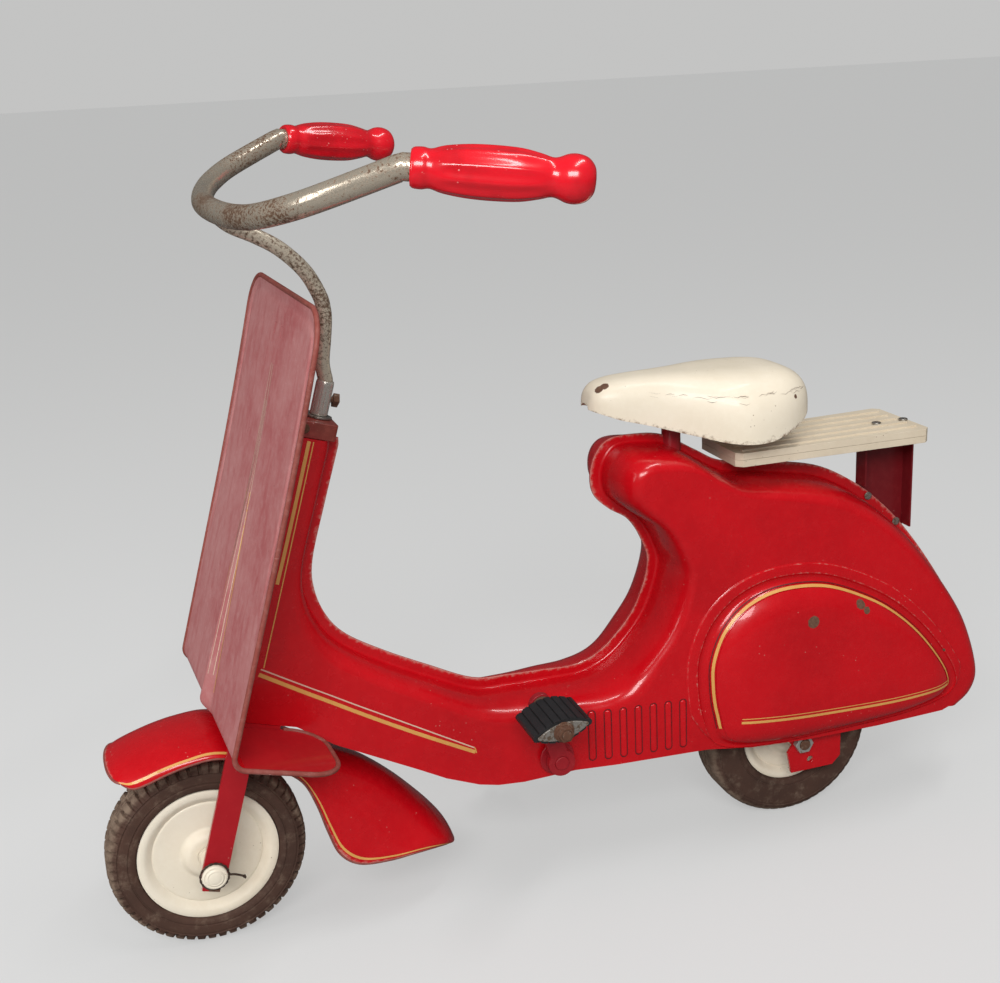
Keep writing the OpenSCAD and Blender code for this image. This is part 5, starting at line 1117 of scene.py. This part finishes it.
def cotter():
    """Two strands of wire twisted round each axle end behind its cap, with splayed tails."""
    ring_r, wire_r, twist_r = 11.2, 0.5, 0.55
    tail_len, tail_drop, splay, splay_from = 12.6, 5.2, 1.6, 40
    parts = []
    for sign in (-1, 1):
        y = sign * (CAP_IN + 0.9)
        turns = np.linspace(0, 1, 60) * 2 * math.pi
        for phase in (0, math.pi):
            strand, tail = [], []
            for k, a in enumerate(turns):
                x, z = ring_r * math.cos(a), WHEEL_R - ring_r * math.sin(a)
                w = k * 0.9 + phase
                strand.append([x + twist_r * math.cos(w) * x / ring_r, y + twist_r * math.sin(w),
                               z + twist_r * math.cos(w) * (z - WHEEL_R) / ring_r])
            for k, t in enumerate(np.linspace(0, 1, 50)):
                w = k * 0.75 + phase
                spread = twist_r + (splay * max(0, k - splay_from) / 10) * (1 if phase else 0.6)
                tail.append([ring_r + tail_len * t,
                             y + sign * 0.4 * math.sin(3 * t) + spread * math.sin(w) * 0.7,
                             WHEEL_R - 1.0 - tail_drop * t * t + spread * math.cos(w)])
            parts += [sweep(line, wire_r, 8, [0, 1, 0]) for line in (strand, tail)]
    make("cotter_wires_twisted", *joined(parts), DARK_RUST, "cotter_wires", slot="rusty_steel")


def collar():
    """The turned collar under the stem, with twelve cut grooves."""
    inner, outer = STEM_R + 0.3, 7.0
    profile = [[inner, 0.2], [6.7, 0.0], [outer, 0.4], [outer, COLLAR_H - 4.2]]
    profile += [[outer - (outer - inner - 0.2) * (1 - cosd(a)), COLLAR_H - 3.8 + 3.7 * sind(a)]
                for a in range(0, 91, 10)]
    profile.append([inner, COLLAR_H - 1.0])

    def engraved(r, h, w):
        if r < 6.9 or not 3 < h < COLLAR_H - 5:
            return r
        return r - 0.28 * ((math.degrees(w) % 30) < 5)

    fine = []
    for a, b in zip(profile[:-1], profile[1:]):
        steps = 12 if abs(b[1] - a[1]) > 10 else 1
        fine += [[lerp(a[0], b[0], k / steps), lerp(a[1], b[1], k / steps)] for k in range(steps)]
    fine.append(profile[-1])
    v, f = lathe(fine, [0, 0, COLLAR_UNDER], [0, 0, 1], [1, 0, 0], steps=144, wobble=engraved, closed=True)
    make("clamp_collar_turned", steer(v), f, COLLAR, "clamp_collar", sharp=45, slot="worn_chrome")


cotter()
collar()

# bevelled copies of CAD nodes: names, bevel width, paint, slot
SOFT = [
    ("fork", 1.0, FORK_RED, "red_enamel"), ("head_cap", 1.1, CAP_RED, "red_enamel"),
    ("cap_screws clamp_bolt", 0.5, RUST, "rusty_steel"), ("mudguard_bolts", 0.5, STEEL, "bare_steel"),
    ("drive_frame_left drive_frame_right", 0.5, RED, "red_enamel"),
    ("rear_axle_nuts", 0.6, ZINC, "bare_steel"),
    ("rear_axle", 0.5, RUST, "rusty_steel"), ("pillion_bracket", 0.4, BRACKET_RED, "red_enamel"),
    ("pillion_screws", 0.4, STEEL, "bare_steel"), ("pillion_base", 1.3, PILLION, "white_enamel"),
    ("pillion_top", 0.7, PILLION, "white_enamel"), ("crank_left crank_right", 1.2, DARK_RED, "red_enamel"),
    ("crank_bearing_left crank_bearing_right", 0.7, DARK_RED, "red_enamel"),
    ("crank_axle", 0.8, DARK_RED, "bare_steel"), ("pedal_nuts pedal_spindles", 0.5, RUST, "rusty_steel"),
    ("pedal_frame_left pedal_frame_right", 0.4, PLATE, "bare_steel"),
    ("pedal_rubber_left pedal_rubber_right", 0.45, PEDAL, "black_rubber"),
    ("seat_post", 0.5, DARK_RED, "rusty_steel"), ("front_axle", 0.4, STEEL, "bare_steel"),
    ("upper_bush lower_bush frame_bolts", 0.3, STEEL, "bare_steel"),
    ("chainwheel", 0.2, STEEL, "bare_steel"), ("rear_sprocket", 0.2, RUST, "rusty_steel"),
]
for names, width, paint, kind in SOFT:
    for node in names.split():
        soften(node, width, paint)

# everything else keeps its CAD mesh and gets a finish, bare steel unless named here
FINISH = {"saddle_mount": RUST, "rear_spacers": DISC, "front_spacers": DISC, "chain_outer_links": RUST,
          "front_rim": DARK_RED, "front_hub": DISC, "rear_hub": DISC}
for name, obj in NODES.items():
    paints = obj.data.materials
    if not paints:
        paints.append(STEEL)
    for index in range(len(paints)):
        paints[index] = FINISH.get(name, STEEL)


# Stage, light and camera
def grey(value):
    return (value, value, value)


def seen_and_lit(tree, seen, lit, glossy):
    """One value for the camera, one for light that scatters and one for mirror-like reflections."""
    path = add_node(tree, "LightPath", {}).outputs
    return add_mix(tree, path["Is Camera Ray"], add_mix(tree, path["Is Glossy Ray"], lit, glossy), seen)


pale = Nodes("pale_floor")
pale.put(Base_Color=seen_and_lit(pale.tree, grey(0.27), grey(0.34), grey(0.10)),
         Roughness=0.7, Specular_IOR_Level=0.1,
         Emission_Color=seen_and_lit(pale.tree, (0.40, 0.40, 0.395), grey(0), grey(0)),
         Emission_Strength=1.0)
mesh = bpy.data.meshes.new("floor")
mesh.from_pydata([(-30, -30, 0), (30, -30, 0), (30, 30, 0), (-30, 30, 0)], [], [(0, 1, 2, 3)])
mesh.materials.append(pale.mat)
floor = bpy.data.objects.new("floor", mesh)
bpy.context.scene.collection.objects.link(floor)

world = bpy.data.worlds.new("studio")
bpy.context.scene.world = world
world.use_nodes = True
tree = world.node_tree
background = tree.nodes["Background"].inputs
feed(tree, background[0], seen_and_lit(tree, (0.55, 0.55, 0.545), (0.42, 0.425, 0.43), (0.08, 0.081, 0.082)))
feed(tree, background[1], 1.0)

LIGHT_TARGET = Vector((0.0, 0.0, 0.3))
for name, spot, width, height, power in (("key_soft", (-0.9, -2.1, 1.7), 1.7, 0.8, 58),
                                         ("top_strip", (0.5, -0.5, 2.4), 1.8, 0.16, 16),
                                         ("front_fill", (-2.2, -0.4, 1.2), 0.8, 1.2, 14)):
    light = bpy.data.lights.new(name, "AREA")
    light.shape = "RECTANGLE"
    light.size, light.size_y, light.energy = width, height, power
    lamp = bpy.data.objects.new(name, light)
    lamp.location = spot
    lamp.rotation_euler = (LIGHT_TARGET - Vector(spot)).to_track_quat("-Z", "Y").to_euler()
    bpy.context.scene.collection.objects.link(lamp)

YAW, PITCH, ROLL = 0.310034, 0.301505, -0.0503086
CAMERA_AT = (-0.3892, -1.0451, 0.6845)
cam_data = bpy.data.cameras.new("camera")
cam_data.sensor_width = 36.0
cam_data.lens = 50.705
cam_data.clip_end = 100
camera = bpy.data.objects.new("camera", cam_data)
bpy.context.scene.collection.objects.link(camera)
ahead = Vector((math.sin(YAW) * math.cos(PITCH), math.cos(YAW) * math.cos(PITCH), -math.sin(PITCH)))
right = ahead.cross(Vector((0, 0, 1))).normalized()
up = right.cross(ahead)
matrix = Matrix((right * math.cos(ROLL) + up * math.sin(ROLL),
                 up * math.cos(ROLL) - right * math.sin(ROLL), -ahead))
matrix = matrix.transposed().to_4x4()
matrix.translation = Vector(CAMERA_AT)
camera.matrix_world = matrix
bpy.context.scene.camera = camera
bpy.context.scene.view_settings.view_transform = "Standard"
